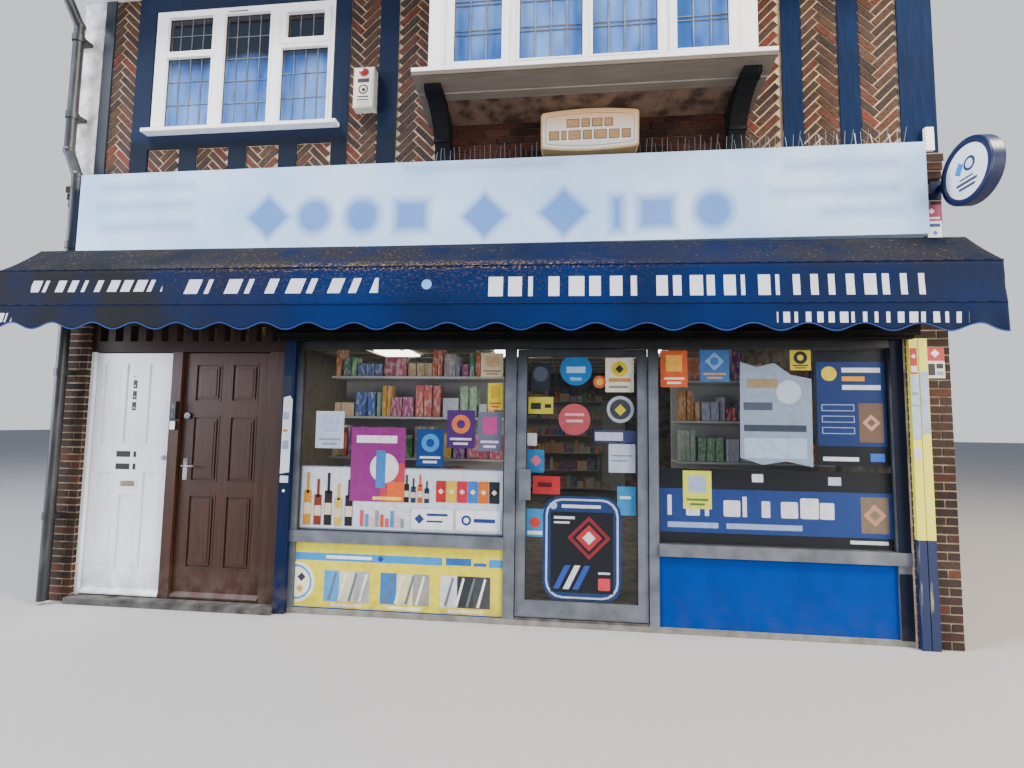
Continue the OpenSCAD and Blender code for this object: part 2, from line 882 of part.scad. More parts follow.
// Glazed aluminium leaf with its box pull handle
module shop_door() {
    hx = shop_leaf_x0 + handle_inset;
    color("silver") union() {
        pane_frame(
            [shop_leaf_x0, shop_leaf_x1], [shop_leaf_y0, shop_leaf_y1],
            [shop_leaf_z0, shop_leaf_z1],
            [[shop_pane_x[0], shop_pane_x[1], shop_pane_z[0], shop_pane_z[1]]]
        );
        block(
            [hx, hx + handle_w], [shop_leaf_y0 - handle_out, shop_leaf_y0],
            [handle_z, handle_z + handle_h]
        );
        leaf_hinges(shop_leaf_x1 + shop_gap / 2, shop_leaf_y1, -1);
    }
}

module shop_door_glass() {
    color("lightcyan") block(shop_pane_x, [shop_pane_y0, shop_pane_y0 + glass_t], shop_pane_z);
}

// Timber leaf with panels sunk into both faces, each panel as [x0, x1, z0, z1]
module panelled_leaf(x, panels, field) {
    difference() {
        block(x, [leaf_y0, leaf_y1], [leaf_z0, door_top]);
        for (p = panels) for (y = [leaf_y0 - 1, leaf_y1 - panel_recess]) difference() {
            block([p[0], p[1]], [y, y + panel_recess + 1], [p[2], p[3]]);
            if (field > 0) {
                block(
                    [p[0] + field, p[1] - field], [y - 1, y + panel_recess + 2],
                    [p[2] + field, p[3] - field]
                );
            }
        }
    }
}

// White door: three tall panels over a lock rail, three below it, and a letter plate
module flat_door() {
    edge = 58;
    muntin = 34;
    w = (flat_door_w - 2 * edge - 2 * muntin) / 3;
    columns = [for (i = [0:2]) flat_x0 + edge + i * (w + muntin)];
    lock_z = [1080, 1306];
    letter_w = 150;
    color("white") union() {
        panelled_leaf(
            [flat_x0, flat_x1],
            concat(
                [for (x = columns) [x, x + w, lock_z[1], door_top - 83]],
                [for (x = columns) [x, x + w, leaf_z0 + 200, x == columns[1] ? 890 : lock_z[0]]]
            ),
            0
        );
        block(
            [columns[1] + (w - letter_w) / 2, columns[1] + (w + letter_w) / 2],
            [leaf_y0 - 6, leaf_y0], [940, 1015]
        );
        leaf_hinges(flat_x0 - door_gap / 2, leaf_y1, 1);
    }
}

// Brown door: two columns of raised panels and a round lock
module side_door() {
    edge = 100;
    muntin = 90;
    field = 28;
    w = (side_door_w - 2 * edge - muntin) / 2;
    columns = [side_x0 + edge, side_x0 + edge + w + muntin];
    rows = [[300, 900], [1010, 1560], [1680, door_top - 90]];
    color("#4a2f26") union() {
        panelled_leaf(
            [side_x0, side_x1], [for (x = columns) for (r = rows) [x, x + w, r[0], r[1]]], field
        );
        translate([side_x0 + 55, leaf_y0, 1560]) rotate([90, 0, 0]) cylinder(d = 46, h = 14);
        leaf_hinges(side_x1 + door_gap / 2, leaf_y1, -1);
    }
}

// A jamb of the flat doors from the step to the head
module jamb(x0, x1) {
    block([x0, x1], [jamb_y0, jamb_y1], [step_z, jamb_z1]);
}

// White jamb of the white door, with its hinges
module flat_door_jamb() {
    color("white") union() {
        jamb(pier_l1, pier_l1 + jamb_w);
        jamb_hinges(flat_x0 - door_gap / 2, jamb_y1, -1);
    }
}

// Post between the doors, and the brown jamb with its hinges
module entrance_jambs() {
    color("#3a2620") {
        jamb(mid_x0, mid_x1);
        union() {
            jamb(end_jamb_x0, blue_x0);
            jamb_hinges(side_x1 + door_gap / 2, jamb_y1, 1);
        }
    }
}

// Board over both flat doors with a row of upright slots
module entrance_head() {
    slot_w = 78;
    slot_h = 135;
    slots = 12;
    slot_z = jamb_z1 + 93;
    pitch = (blue_x0 - pier_l1 - 2 * jamb_w) / slots;
    color("#3a2620") difference() {
        block([pier_l1, blue_x0], [jamb_y0, jamb_y1], [jamb_z1, shutter_z1]);
        for (i = [0:slots - 1]) {
            x = pier_l1 + jamb_w + (i + 0.5) * pitch;
            block([x - slot_w / 2, x + slot_w / 2], [jamb_y0 - 1, jamb_y1 + 1], [slot_z, slot_z + slot_h]);
        }
    }
}

// Entry phone over a light switch, both on the post between the doors
module intercom() {
    x = mid_x0 + mid_post_w / 2;
    color("black") block([x - 30, x + 30], [jamb_y0 - 20, jamb_y0], [1530, 1680]);
    color("white") block([x - 25, x + 25], [jamb_y0 - 14, jamb_y0], [1440, 1515]);
}

module blue_post() {
    color("#12306b") block([blue_x0, blue_x1], [front - post_out, front + floor_set], [0, shutter_z0]);
}

// Two upright boards in front of the right pier
module pilaster() {
    board_w = 58;
    joint = 6;
    color("#e3e684") for (i = [0, 1]) {
        x = pier_r0 + 11 + i * (board_w + joint);
        block([x, x + board_w], [front - 35, front], [0, shutter_z0]);
    }
}

module fascia_sign() {
    color("#c9d6e4") block([fascia_x0, fascia_x1], [front - fascia_out, front], [fascia_z, fascia_z1]);
}

// Turns the canopy a little about its middle, as the real one hangs
module lean() {
    translate([0, 0, canopy_back_z]) rotate([0, canopy_lean, 0]) {
        translate([0, 0, -canopy_back_z]) children();
    }
}

// Wavy lower edge of the valance
function scallop_edge(x) =
    canopy_low_z - valance_h + scallop_h / 2 * (1 - cos(360 * x * scallops / front_w));

// Corners of the canopy's outer profile in Y and Z: back edge, upper bar, lower bar
canopy_line = [
    [canopy_back_y, canopy_back_z], [front - canopy_out, canopy_top_z],
    [canopy_face_y, canopy_low_z]
];

// Inward normal of the line from a to b
function inward(a, b) = let (d = (b - a) / norm(b - a)) [-d[1], d[0]];

// Point at distance d inside both lines that meet at p
function inset(p, n1, n2, d) = p + d * (n1 + n2) / (1 + n1 * n2);

slope_n = inward(canopy_line[0], canopy_line[1]);
face_n = inward(canopy_line[1], canopy_line[2]);
upper_bar = inset(canopy_line[1], slope_n, face_n, cloth_t + cloth_gap + bar_d / 2);
lower_bar = inset(canopy_line[2], face_n, [1, 0], cloth_t + cloth_gap + bar_d / 2);

// Cloth over the top bar, down the face and into the scalloped valance, with closed ends
module canopy_fabric() {
    steps = scallops * 12;
    w = front_w - 2;
    color("#16356f") lean() union() {
        run_x(-w / 2, w / 2) polygon([
            canopy_line[0], canopy_line[1], canopy_line[2],
            inset(canopy_line[2], face_n, [1, 0], cloth_t),
            inset(canopy_line[1], slope_n, face_n, cloth_t), canopy_line[0] + cloth_t * slope_n
        ]);
        for (x = [-w / 2, w / 2 - cloth_t]) run_x(x, x + cloth_t) polygon([
            canopy_line[0], canopy_line[1], canopy_line[2], [canopy_back_y, canopy_low_z]
        ]);
        translate([0, canopy_face_y + cloth_t, 0]) rotate([90, 0, 0]) {
            linear_extrude(height = cloth_t) polygon(concat(
                [[w / 2, canopy_low_z], [-w / 2, canopy_low_z]],
                [for (i = [0:steps]) let (x = -w / 2 + w * i / steps) [x, scallop_edge(x + w / 2)]]
            ));
        }
    }
}

// Flat arm from the wall down to the back of the lower bar
module arm(x) {
    rise = canopy_face_h - 60;
    end_y = lower_bar[0] + bar_d / 2 + cloth_gap;
    z = lower_bar[1];
    run_x(x, x + arm_t) polygon([
        [front, z + rise - arm_h / 2], [front, z + rise + arm_h / 2], [end_y, z + arm_h / 2],
        [end_y, z - arm_h / 2]
    ]);
}

// Upright stay between the two bars beside an arm
module stay(x) {
    d = (upper_bar - lower_bar) / norm(upper_bar - lower_bar);
    half = arm_t / 2 * [d[1], -d[0]];
    low = lower_bar + (bar_d / 2 + cloth_gap) * d;
    high = upper_bar - (bar_d / 2 + cloth_gap) * d;
    run_x(x, x + arm_t) polygon([low - half, low + half, high + half, high - half]);
}

// Two front bars on arms from the wall, and a back rail under the sign
module canopy_frame() {
    w = front_w - 2 - 2 * cloth_t - 2 * cloth_gap;
    rail_y = [canopy_back_y + cloth_gap, canopy_back_y + 30];
    rail_z = [canopy_back_z - 64, canopy_back_z - 26];
    end = 150;
    pitch = (fascia_x1 - fascia_x0 - 2 * end) / (arms - 1);
    color("silver") lean() {
        for (p = [upper_bar, lower_bar]) {
            translate([-w / 2, p[0], p[1]]) rotate([0, 90, 0]) cylinder(d = bar_d, h = w);
        }
        block([fascia_x0, fascia_x1], rail_y, rail_z);
        for (i = [0:arms - 1]) {
            x = fascia_x0 + end + i * pitch;
            arm(x);
            stay(x);
            block([x, x + arm_t], [rail_y[1] + cloth_gap, front], rail_z);
        }
    }
}

// Corners of a barrel-shaped face: width w, height h at its ends, bulged by crown, rounded by r
function barrel(w, h, crown, r) = let (n = 12) concat(
    [for (i = [0:n]) let (u = -1 + 2 * i / n) [u * (w / 2 - r), -h / 2 - crown * (1 - u * u)]],
    [for (a = [-67.5:22.5:67.5]) [w / 2 - r + r * cos(a), (h / 2 - r) * sign(a) + r * sin(a)]],
    [for (i = [0:n]) let (u = 1 - 2 * i / n) [u * (w / 2 - r), h / 2 + crown * (1 - u * u)]],
    [for (a = [112.5:22.5:247.5]) [-w / 2 + r + r * cos(a), (h / 2 - r) * sign(180 - a) + r * sin(a)]]
);

// Lit box sign under the bay on two stubs
module licence_sign() {
    w = 760;
    h = 296;
    crown = 22;
    corner_r = 30;
    stub = 40;
    z = pier_top + 250;
    x = bay_x + 30;
    face = front - 130;
    back = front - 20;
    color("#e6d9c2") union() {
        translate([x, back, z]) rotate([90, 0, 0]) {
            linear_extrude(height = back - face) polygon(barrel(w, h, crown, corner_r));
        }
        for (s = [-1, 1]) {
            block(
                [x + s * w / 3 - stub / 2, x + s * w / 3 + stub / 2], [back - 1, wall_face],
                [z - stub / 2, z + stub / 2]
            );
        }
    }
}

// Round projecting sign on a wall bracket at the corner, with a sunk disc in each face
module round_sign() {
    sign_r = 230;
    sign_t = 70;
    rim_w = 45;
    sunk = 8;
    arm_h = 50;
    x = x_r - 30;
    y = front - 280;
    z = 3315;
    color("#1a2f5a") union() {
        translate([x, y, z]) rotate([0, 90, 0]) difference() {
            cylinder(r = sign_r, h = sign_t);
            translate([0, 0, -1]) cylinder(r = sign_r - rim_w, h = sunk + 1);
            translate([0, 0, sign_t - sunk]) cylinder(r = sign_r - rim_w, h = sunk + 1);
        }
        block([x_r - 75, x_r], [front - 8, front], [z - 75, z + 65]);
        block([x + 5, x_r - 5], [y + sign_r - 10, front - 7], [z - arm_h / 2, z + arm_h / 2]);
    }
}

module alarm_box() {
    x = window_bay_x1 + post_b_w + 79;
    color("#e8dcc4") block([x, x + 177], [front - 75, wall_face], [4145, 4497]);
}

// Light panels under the first floor
module ceiling_lights() {
    light_w = 600;
    light_t = 30;
    light_x = [-2000, 0, 2000];
    light_y = [-1800, 300];
    color("white") for (x = light_x) for (y = light_y) {
        block(
            [x - light_w / 2, x + light_w / 2], [y - light_w / 2, y + light_w / 2],
            [floor_under - light_t, floor_under]
        );
    }
}

// Shelf units as [x range, y range, height]; the back stands at the far side
shelf_t = 20;
shelf_rows = 6;
shelf_units = [
    [[left_glass_x0 + 60, left_glass_x1 - 60], [front + 420, front + 760], 1900],
    [[right_glass_x0 + 300, right_glass_x1 - 60], [front + 700, front + 1040], 1900],
    [[room_l + 500, room_r - 1700], [room_rear - 420, room_rear - 20], 2000]
];

module shelf_backs() {
    color("lightgray") for (u = shelf_units) {
        block(u[0], [u[1][1] - shelf_t, u[1][1]], [floor_h, floor_h + u[2]]);
    }
}

module shelf_boards() {
    color("lightgray") for (u = shelf_units) for (i = [0:shelf_rows - 1]) {
        z = floor_h + 80 + i * (u[2] - 100) / (shelf_rows - 1);
        block(u[0], [u[1][0], u[1][1] - shelf_t], [z, z + shelf_t]);
    }
}

// Panes of a rear window: two lights beside a mullion
function rear_panes(h) = let (m = (h[0] + h[1]) / 2) [
    [h[0] + rear_frame_w, m - rear_frame_w / 2, h[2] + rear_frame_w, h[3] - rear_frame_w],
    [m + rear_frame_w / 2, h[1] - rear_frame_w, h[2] + rear_frame_w, h[3] - rear_frame_w]
];

// Rear windows and the plain rear door, all fixed in their openings
module rear_joinery() {
    y = rear - 110 - (frame_d - glass_t) / 2;
    door = rear_door_hole;
    color("white") for (h = concat([rear_low_window], rear_high_windows)) {
        pane_frame([h[0], h[1]], [y, y + frame_d], [h[2], h[3]], rear_panes(h));
    }
    color("steelblue") block([door[0], door[1]], [y, y + frame_d], [door[2], door[3]]);
}

floor_slab();
thresholds();
party_wall();
flank_wall();
brick_piers();
rear_wall_lower();
rear_wall_upper();
front_wall_upper();
shop_lintel();
first_floor();
ceiling();
front_roof();
rear_roof();
ridge_tiles();
chimney_stack();
eaves_boards();
gable_boards();
gutters();
downpipes();
timber_frame();
window_frame();
window_glass();
bay_base();
bay_frame();
bay_roof();
bay_brackets();
left_shopfront();
right_shopfront();
shop_door_head();
shop_glass();
stall_risers();
shutter_box();
shop_door();
shop_door_glass();
flat_door();
side_door();
flat_door_jamb();
entrance_jambs();
entrance_head();
intercom();
blue_post();
pilaster();
fascia_sign();
canopy_fabric();
canopy_frame();
licence_sign();
round_sign();
alarm_box();
ceiling_lights();
shelf_backs();
shelf_boards();
rear_joinery();
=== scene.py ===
"""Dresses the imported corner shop: brickwork, timber, leaded glass, canopy cloth, signs and goods.

Everything is in metres in the part's own frame: the street front faces -Y, +X is to the right
seen from the street, and Z is up from the ground.
"""
import math
import random

import bmesh
import bpy
from mathutils import Euler, Matrix, Vector, noise


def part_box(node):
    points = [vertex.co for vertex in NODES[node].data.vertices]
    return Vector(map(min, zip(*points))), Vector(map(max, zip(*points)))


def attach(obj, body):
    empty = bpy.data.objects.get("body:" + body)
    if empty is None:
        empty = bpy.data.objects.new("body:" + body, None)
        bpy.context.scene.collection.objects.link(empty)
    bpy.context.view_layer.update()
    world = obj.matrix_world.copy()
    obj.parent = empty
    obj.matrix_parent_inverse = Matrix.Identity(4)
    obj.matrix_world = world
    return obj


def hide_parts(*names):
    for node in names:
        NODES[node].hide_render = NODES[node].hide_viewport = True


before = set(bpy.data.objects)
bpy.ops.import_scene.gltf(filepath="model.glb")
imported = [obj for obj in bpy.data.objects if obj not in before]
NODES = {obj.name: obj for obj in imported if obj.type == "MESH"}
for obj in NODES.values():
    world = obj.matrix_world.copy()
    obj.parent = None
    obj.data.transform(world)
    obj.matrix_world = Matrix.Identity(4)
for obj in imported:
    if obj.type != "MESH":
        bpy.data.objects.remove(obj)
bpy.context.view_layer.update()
MAT = {}

# Levels and places that the part's source fixes
FRONT = -4.0
REAR = 4.0
LEFT = -3.595
RIGHT = 3.595
WALL_FACE = -3.975
PIER_TOP = 3.58
SOFFIT = 5.3397
EAVES = 5.65
PITCH = math.radians(38)
APEX = EAVES + 4.0 * math.tan(PITCH)
ROOF_V = 0.11 / math.cos(PITCH)
BAY_X = 0.967
# Inner edge of each brick pier, and how far back the left one's inner side goes
PIER_EDGE = 3.290
PIER_BACK = -3.676
# The chimney's width, which is also its reach each way from the ridge
CHIMNEY = 0.45
# Ends along X and heights of the rear openings, the door first
REAR_HOLES = (
    (1.3, 2.2, 0.04, 2.09), (-2.2, -0.6, 1.0, 2.09),
    (-2.6, -1.3, 3.95, 5.10), (0.9, 2.2, 3.95, 5.10))

# Brick sizes: a course with its joint, the joint, a stretcher and a header
COURSE = 0.061
JOINT = 0.010
STRETCHER = 0.215
HEADER = 0.1025

# The camera fitted to the photograph: its place, its turns in degrees, and its focal length
# and picture width in pixels
EYE = (0.813, -7.947, 1.536)
EYE_TURNS = (-5.928, 4.429, 0.815)
FOCAL, PICTURE_WIDE = 505, 1024
SENSOR = 36.0


def low(name):
    """The low corner of a CAD node's box."""
    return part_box(name)[0]


def high(name):
    """The high corner of a CAD node's box."""
    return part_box(name)[1]


def placed(name, data):
    """A new object at the origin, in the scene."""
    obj = bpy.data.objects.new(name, data)
    bpy.context.scene.collection.objects.link(obj)
    return obj


# Camera and light

def add_camera():
    """The camera that was fitted to the photograph's upright and level lines."""
    yaw, pitch, roll = (math.radians(v) for v in EYE_TURNS)
    ahead = Vector((math.sin(yaw) * math.cos(pitch), math.cos(yaw) * math.cos(pitch), math.sin(pitch)))
    level = Vector((math.cos(yaw), -math.sin(yaw), 0))
    upright = level.cross(ahead)
    right = math.cos(roll) * level + math.sin(roll) * upright
    up = -math.sin(roll) * level + math.cos(roll) * upright
    place = Matrix((right, up, -ahead)).transposed().to_4x4()
    place.translation = EYE
    data = bpy.data.cameras.new("street_camera")
    data.sensor_width = SENSOR
    data.lens = FOCAL / PICTURE_WIDE * SENSOR
    data.clip_start = 0.05
    data.clip_end = 200
    camera = placed("street_camera", data)
    camera.matrix_world = place
    bpy.context.scene.camera = camera


def linear(colour):
    """A #rrggbb colour as linear RGBA."""
    out = []
    for i in (1, 3, 5):
        c = int(colour[i:i + 2], 16) / 255
        out.append(c / 12.92 if c <= 0.04045 else ((c + 0.055) / 1.055) ** 2.4)
    return (*out, 1.0)


def feed(tree, socket, value):
    """Sets an input to a number, a vector or a hex colour, or links an output to it."""
    if isinstance(value, bpy.types.NodeSocket):
        tree.links.new(value, socket)
    elif isinstance(value, str) and value.startswith("#"):
        socket.default_value = linear(value)
    else:
        socket.default_value = value


def add(tree, kind, inputs=None, stops=(), out=0, **settings):
    """Adds a node and gives one of its outputs. Settings are its own properties, inputs are
    what feed() takes, and stops are the places and colours of a colour ramp."""
    node = tree.nodes.new(kind)
    for name, value in settings.items():
        setattr(node, name, value)
    for key, value in (inputs or {}).items():
        feed(tree, node.inputs[key], value)
    if stops:
        ends = node.color_ramp.elements
        ends[0].position, ends[1].position = stops[0][0], stops[-1][0]
        ends[0].color, ends[1].color = linear(stops[0][1]), linear(stops[-1][1])
        for position, colour in stops[1:-1]:
            ends.new(position).color = linear(colour)
    return node.outputs[out] if node.outputs else None


def add_world():
    """Even studio light on the shop, a pale backdrop, and a blue sky for glass and metal."""
    world = bpy.data.worlds.new("studio")
    bpy.context.scene.world = world
    world.use_nodes = True
    tree = world.node_tree
    tree.nodes.clear()
    eye, mirror, through = (add(tree, "ShaderNodeLightPath", out=f"Is {ray} Ray")
                            for ray in ("Camera", "Glossy", "Transmission"))
    seen = add(tree, "ShaderNodeMath", {0: mirror, 1: through}, operation="MAXIMUM")
    direct = add(tree, "ShaderNodeMath", {0: seen, 1: eye}, operation="MAXIMUM")
    soft, sky, blue = (add(tree, "ShaderNodeBackground", {"Color": colour, "Strength": strength})
                       for colour, strength in (("#e6ecff", 0.48), ("#eef3fa", 1.0), ("#9dbfe8", 1.1)))
    shown = add(tree, "ShaderNodeMixShader", {0: seen, 1: sky, 2: blue})
    final = add(tree, "ShaderNodeMixShader", {0: direct, 1: soft, 2: shown})
    add(tree, "ShaderNodeOutputWorld", {"Surface": final})


def add_lamp(name, place, target, size, power, colour):
    """A square soft box that looks at its target."""
    data = bpy.data.lights.new(name, "AREA")
    data.shape = "RECTANGLE"
    data.size = data.size_y = size
    data.energy = power
    data.color = linear(colour)[:3]
    lamp = placed(name, data)
    lamp.location = place
    lamp.rotation_euler = (Vector(target) - Vector(place)).to_track_quat("-Z", "Y").to_euler()


# Mesh helpers

def piece(name, bm, finish, body="building"):
    """Makes a mesh a finished piece that rides on a body."""
    mesh = bpy.data.meshes.new(name)
    bm.to_mesh(mesh)
    bm.free()
    mesh.materials.append(MAT[finish])
    obj = placed(name, mesh)
    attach(obj, body)
    return obj


def add_box(bm, x, y, z, bevel=0.0):
    """A box between ranges, with its edges bevelled."""
    made = bmesh.ops.create_cube(bm, size=1.0)["verts"]
    size = Vector((x[1] - x[0], y[1] - y[0], z[1] - z[0]))
    middle = Vector((x[0] + x[1], y[0] + y[1], z[0] + z[1])) / 2
    for v in made:
        v.co = Vector((v.co.x * size.x, v.co.y * size.y, v.co.z * size.z)) + middle
    if bevel:
        edges = list({e for v in made for e in v.link_edges})
        bmesh.ops.bevel(bm, geom=edges, offset=min(bevel, min(size) * 0.45), segments=2,
                        profile=0.6, affect="EDGES", clamp_overlap=True)


def add_tube(bm, start, end, radius, sides=12):
    """A closed round bar from start to end."""
    start, end = Vector(start), Vector(end)
    axis = end - start
    turn = axis.to_track_quat("Z", "Y").to_matrix().to_4x4()
    made = bmesh.ops.create_cone(
        bm, cap_ends=True, segments=sides, radius1=radius, radius2=radius, depth=axis.length,
        matrix=Matrix.Translation((start + end) / 2) @ turn)
    for f in {f for v in made["verts"] for f in v.link_faces}:
        f.smooth = len(f.verts) == 4


def add_prism(bm, front, back):
    """A closed solid between two outlines of as many corners each."""
    a = [bm.verts.new(p) for p in front]
    b = [bm.verts.new(p) for p in back]
    n = len(a)
    faces = [bm.faces.new(a), bm.faces.new(b[::-1])]
    faces += [bm.faces.new((a[i], b[i], b[(i + 1) % n], a[(i + 1) % n])) for i in range(n)]
    bmesh.ops.recalc_face_normals(bm, faces=faces)
    return faces


def add_profile(bm, points, x0, x1):
    """A closed profile in Y and Z, run along X from x0 to x1."""
    return add_prism(bm, [(x0, *p) for p in points], [(x1, *p) for p in points])


def add_plate(bm, corners, y, depth):
    """A flat plate in X and Z that stands out from y towards the street by depth."""
    return add_prism(bm, [(x, y - depth, z) for x, z in corners], [(x, y, z) for x, z in corners])


def rounded(x0, x1, z0, z1, r, steps=4):
    """Corners of a rectangle with rounded corners."""
    out = []
    for cx, cz, turn in ((x1 - r, z0 + r, -90), (x1 - r, z1 - r, 0),
                         (x0 + r, z1 - r, 90), (x0 + r, z0 + r, 180)):
        for i in range(steps + 1):
            a = math.radians(turn + 90 * i / steps)
            out.append((cx + r * math.cos(a), cz + r * math.sin(a)))
    return out


def disc(cx, cz, r, steps=24):
    """Corners of a disc."""
    turns = [math.tau * i / steps for i in range(steps)]
    return [(cx + r * math.cos(a), cz + r * math.sin(a)) for a in turns]


def rect(x0, x1, z0, z1):
    """Corners of a box."""
    return [(x0, z0), (x1, z0), (x1, z1), (x0, z1)]


def diamond(cx, cz, r):
    """Corners of a square that stands on its point."""
    return [(cx - r, cz), (cx, cz - r), (cx + r, cz), (cx, cz + r)]


def bake_modifiers(obj):
    """Turns what the modifiers make into the plain mesh."""
    graph = bpy.context.evaluated_depsgraph_get()
    mesh = bpy.data.meshes.new_from_object(obj.evaluated_get(graph))
    old = obj.data
    obj.modifiers.clear()
    obj.data = mesh
    bpy.data.meshes.remove(old)


# Geometry node trees

def new_tree(name, sockets):
    """A tree with its named inputs: the tree, those inputs, and its output node."""
    tree = bpy.data.node_groups.new(name, "GeometryNodeTree")
    tree.interface.new_socket("Geometry", in_out="INPUT", socket_type="NodeSocketGeometry")
    for label, kind, value in (*sockets, ("Material", "NodeSocketMaterial", None)):
        socket = tree.interface.new_socket(label, in_out="INPUT", socket_type=kind)
        if value is not None:
            socket.default_value = value
    tree.interface.new_socket("Geometry", in_out="OUTPUT", socket_type="NodeSocketGeometry")
    return tree, tree.nodes.new("NodeGroupInput").outputs, tree.nodes.new("NodeGroupOutput")


def close_tree(tree, shape, given, end):
    """Makes the instances real, gives them their material and ends the tree."""
    real = add(tree, "GeometryNodeRealizeInstances", {0: shape})
    done = add(tree, "GeometryNodeSetMaterial", {"Geometry": real, "Material": given["Material"]})
    tree.links.new(done, end.inputs[0])
    return tree


def block_tree():
    """A block on each point: its size, turn and tone come from the points' attributes."""
    tree, given, end = new_tree("block_on_each_point", [
        ("Taper", "NodeSocketFloat", 0.03), ("Wobble", "NodeSocketFloat", 0.0),
        ("Depth change", "NodeSocketFloat", 0.0), ("Seed", "NodeSocketInt", 1)])
    cube = add(tree, "GeometryNodeMeshCube", {"Size": (1, 1, 1)})
    corner = add(tree, "GeometryNodeInputPosition")
    depth = add(tree, "ShaderNodeSeparateXYZ", {0: corner}, out=1)
    face = add(tree, "FunctionNodeCompare", {0: depth, 1: 0.0}, operation="LESS_THAN")
    keep = add(tree, "ShaderNodeMath", {0: 1.0, 1: given["Taper"]}, operation="SUBTRACT")
    shrink = add(tree, "ShaderNodeCombineXYZ", {0: keep, 1: 1.0, 2: keep})
    moved = add(tree, "ShaderNodeVectorMath", {0: corner, 1: shrink}, operation="MULTIPLY")
    shaped = add(tree, "GeometryNodeSetPosition", {"Geometry": cube, "Selection": face, "Position": moved})
    size, turn = (add(tree, "GeometryNodeInputNamedAttribute", {"Name": name}, data_type="FLOAT_VECTOR")
                  for name in ("size", "turn"))
    least_turn, least_depth = (add(tree, "ShaderNodeMath", {0: given[label], 1: -1.0}, operation="MULTIPLY")
                               for label in ("Wobble", "Depth change"))
    spread = add(tree, "FunctionNodeRandomValue",
                 {"Min": least_turn, "Max": given["Wobble"], "Seed": given["Seed"]},
                 data_type="FLOAT_VECTOR")
    turned = add(tree, "ShaderNodeVectorMath", {0: turn, 1: spread}, operation="ADD")
    step = add(tree, "FunctionNodeRandomValue",
               {2: least_depth, 3: given["Depth change"], "Seed": given["Seed"]}, out=1, data_type="FLOAT")
    offset = add(tree, "ShaderNodeCombineXYZ", {1: step})
    points = add(tree, "GeometryNodeSetPosition", {"Geometry": given["Geometry"], "Offset": offset})
    blocks = add(tree, "GeometryNodeInstanceOnPoints",
                 {"Points": points, "Instance": shaped, "Rotation": turned, "Scale": size})
    return close_tree(tree, blocks, given, end)


def lead_tree():
    """Lead strips over a pane: a grid's edges, given a flat oval section."""
    tree, given, end = new_tree("leads_over_a_pane", [
        ("Width", "NodeSocketFloat", 1.0), ("Height", "NodeSocketFloat", 1.0),
        ("Across", "NodeSocketInt", 4), ("Up", "NodeSocketInt", 3), ("Strip", "NodeSocketFloat", 0.009)])
    across, up = (add(tree, "ShaderNodeMath", {0: given[label], 1: 1.0}, operation="ADD")
                  for label in ("Across", "Up"))
    grid = add(tree, "GeometryNodeMeshGrid", {
        "Size X": given["Width"], "Size Y": given["Height"], "Vertices X": across, "Vertices Y": up})
    faces = add(tree, "GeometryNodeInputMeshEdgeNeighbors")
    inner = add(tree, "FunctionNodeCompare", {2: faces, 3: 2}, data_type="INT", operation="EQUAL")
    lines = add(tree, "GeometryNodeMeshToCurve", {"Mesh": grid, "Selection": inner})
    half = add(tree, "ShaderNodeMath", {0: given["Strip"], 1: 0.5}, operation="MULTIPLY")
    section = add(tree, "GeometryNodeCurvePrimitiveCircle", {"Resolution": 6, "Radius": half})
    bars = add(tree, "GeometryNodeCurveToMesh",
               {"Curve": lines, "Profile Curve": section, "Fill Caps": True})
    flat = add(tree, "GeometryNodeTransform", {"Geometry": bars, "Scale": (1, 1, 0.45)})
    upright = add(tree, "GeometryNodeTransform", {
        "Geometry": flat, "Rotation": Euler((math.radians(90), 0, 0))})
    return close_tree(tree, upright, given, end)


def grow(obj, tree, finish, values):
    """Runs a tree on an object, with its named inputs set, and keeps what it makes."""
    made = obj.modifiers.new("shape", "NODES")
    made.node_group = tree
    for label, value in (*values.items(), ("Material", MAT[finish])):
        made[tree.interface.items_tree[label].identifier] = value
    bake_modifiers(obj)


# Patterns that the finishes share

EVEN = (1, 1, 1)
BLACK, WHITE = "#000000", "#ffffff"


def spots(tree, size, stretch=EVEN, detail=3.0, place=0.0):
    """Soft random spots of about that size in metres, on the piece's own coordinates."""
    coords = add(tree, "ShaderNodeTexCoord", out="Object")
    scaled = add(tree, "ShaderNodeMapping", {
        "Vector": coords, "Scale": [1 / (size * s) for s in stretch], "Location": (place, place, place)})
    return add(tree, "ShaderNodeTexNoise", {"Vector": scaled, "Scale": 1.0, "Detail": detail})


def patches(tree, stops, *grain, **more):
    """Spots coloured by a ramp's stops."""
    return add(tree, "ShaderNodeValToRGB", {0: spots(tree, *grain, **more)}, stops=stops)


def coordinate(tree, axis):
    """The Object coordinate along one axis: 0 to the right, 1 into the shop, 2 up."""
    coords = add(tree, "ShaderNodeTexCoord", out="Object")
    return add(tree, "ShaderNodeSeparateXYZ", {0: coords}, out=axis)


def fade(tree, place, start, end):
    """0 at start, 1 at end and straight in between; place is an axis or a value of the tree."""
    if isinstance(place, int):
        place = coordinate(tree, place)
    return add(tree, "ShaderNodeMapRange", {0: place, 1: start, 2: end, 3: 0.0, 4: 1.0})


def where_all(tree, *masks):
    """The product of masks and strengths: 1 only where each of them is."""
    whole = masks[0]
    for mask in masks[1:]:
        whole = add(tree, "ShaderNodeMath", {0: whole, 1: mask}, operation="MULTIPLY")
    return whole


def coats(tree, base, *layers):
    """Lays each coat over what is under it: how far it hides that, its colour, and how it
    mixes where that isn't plainly."""
    for cover, colour, *how in layers:
        base = add(tree, "ShaderNodeMix", {0: cover, 6: base, 7: colour}, out=2,
                   data_type="RGBA", blend_type=how[0] if how else "MIX")
    return base


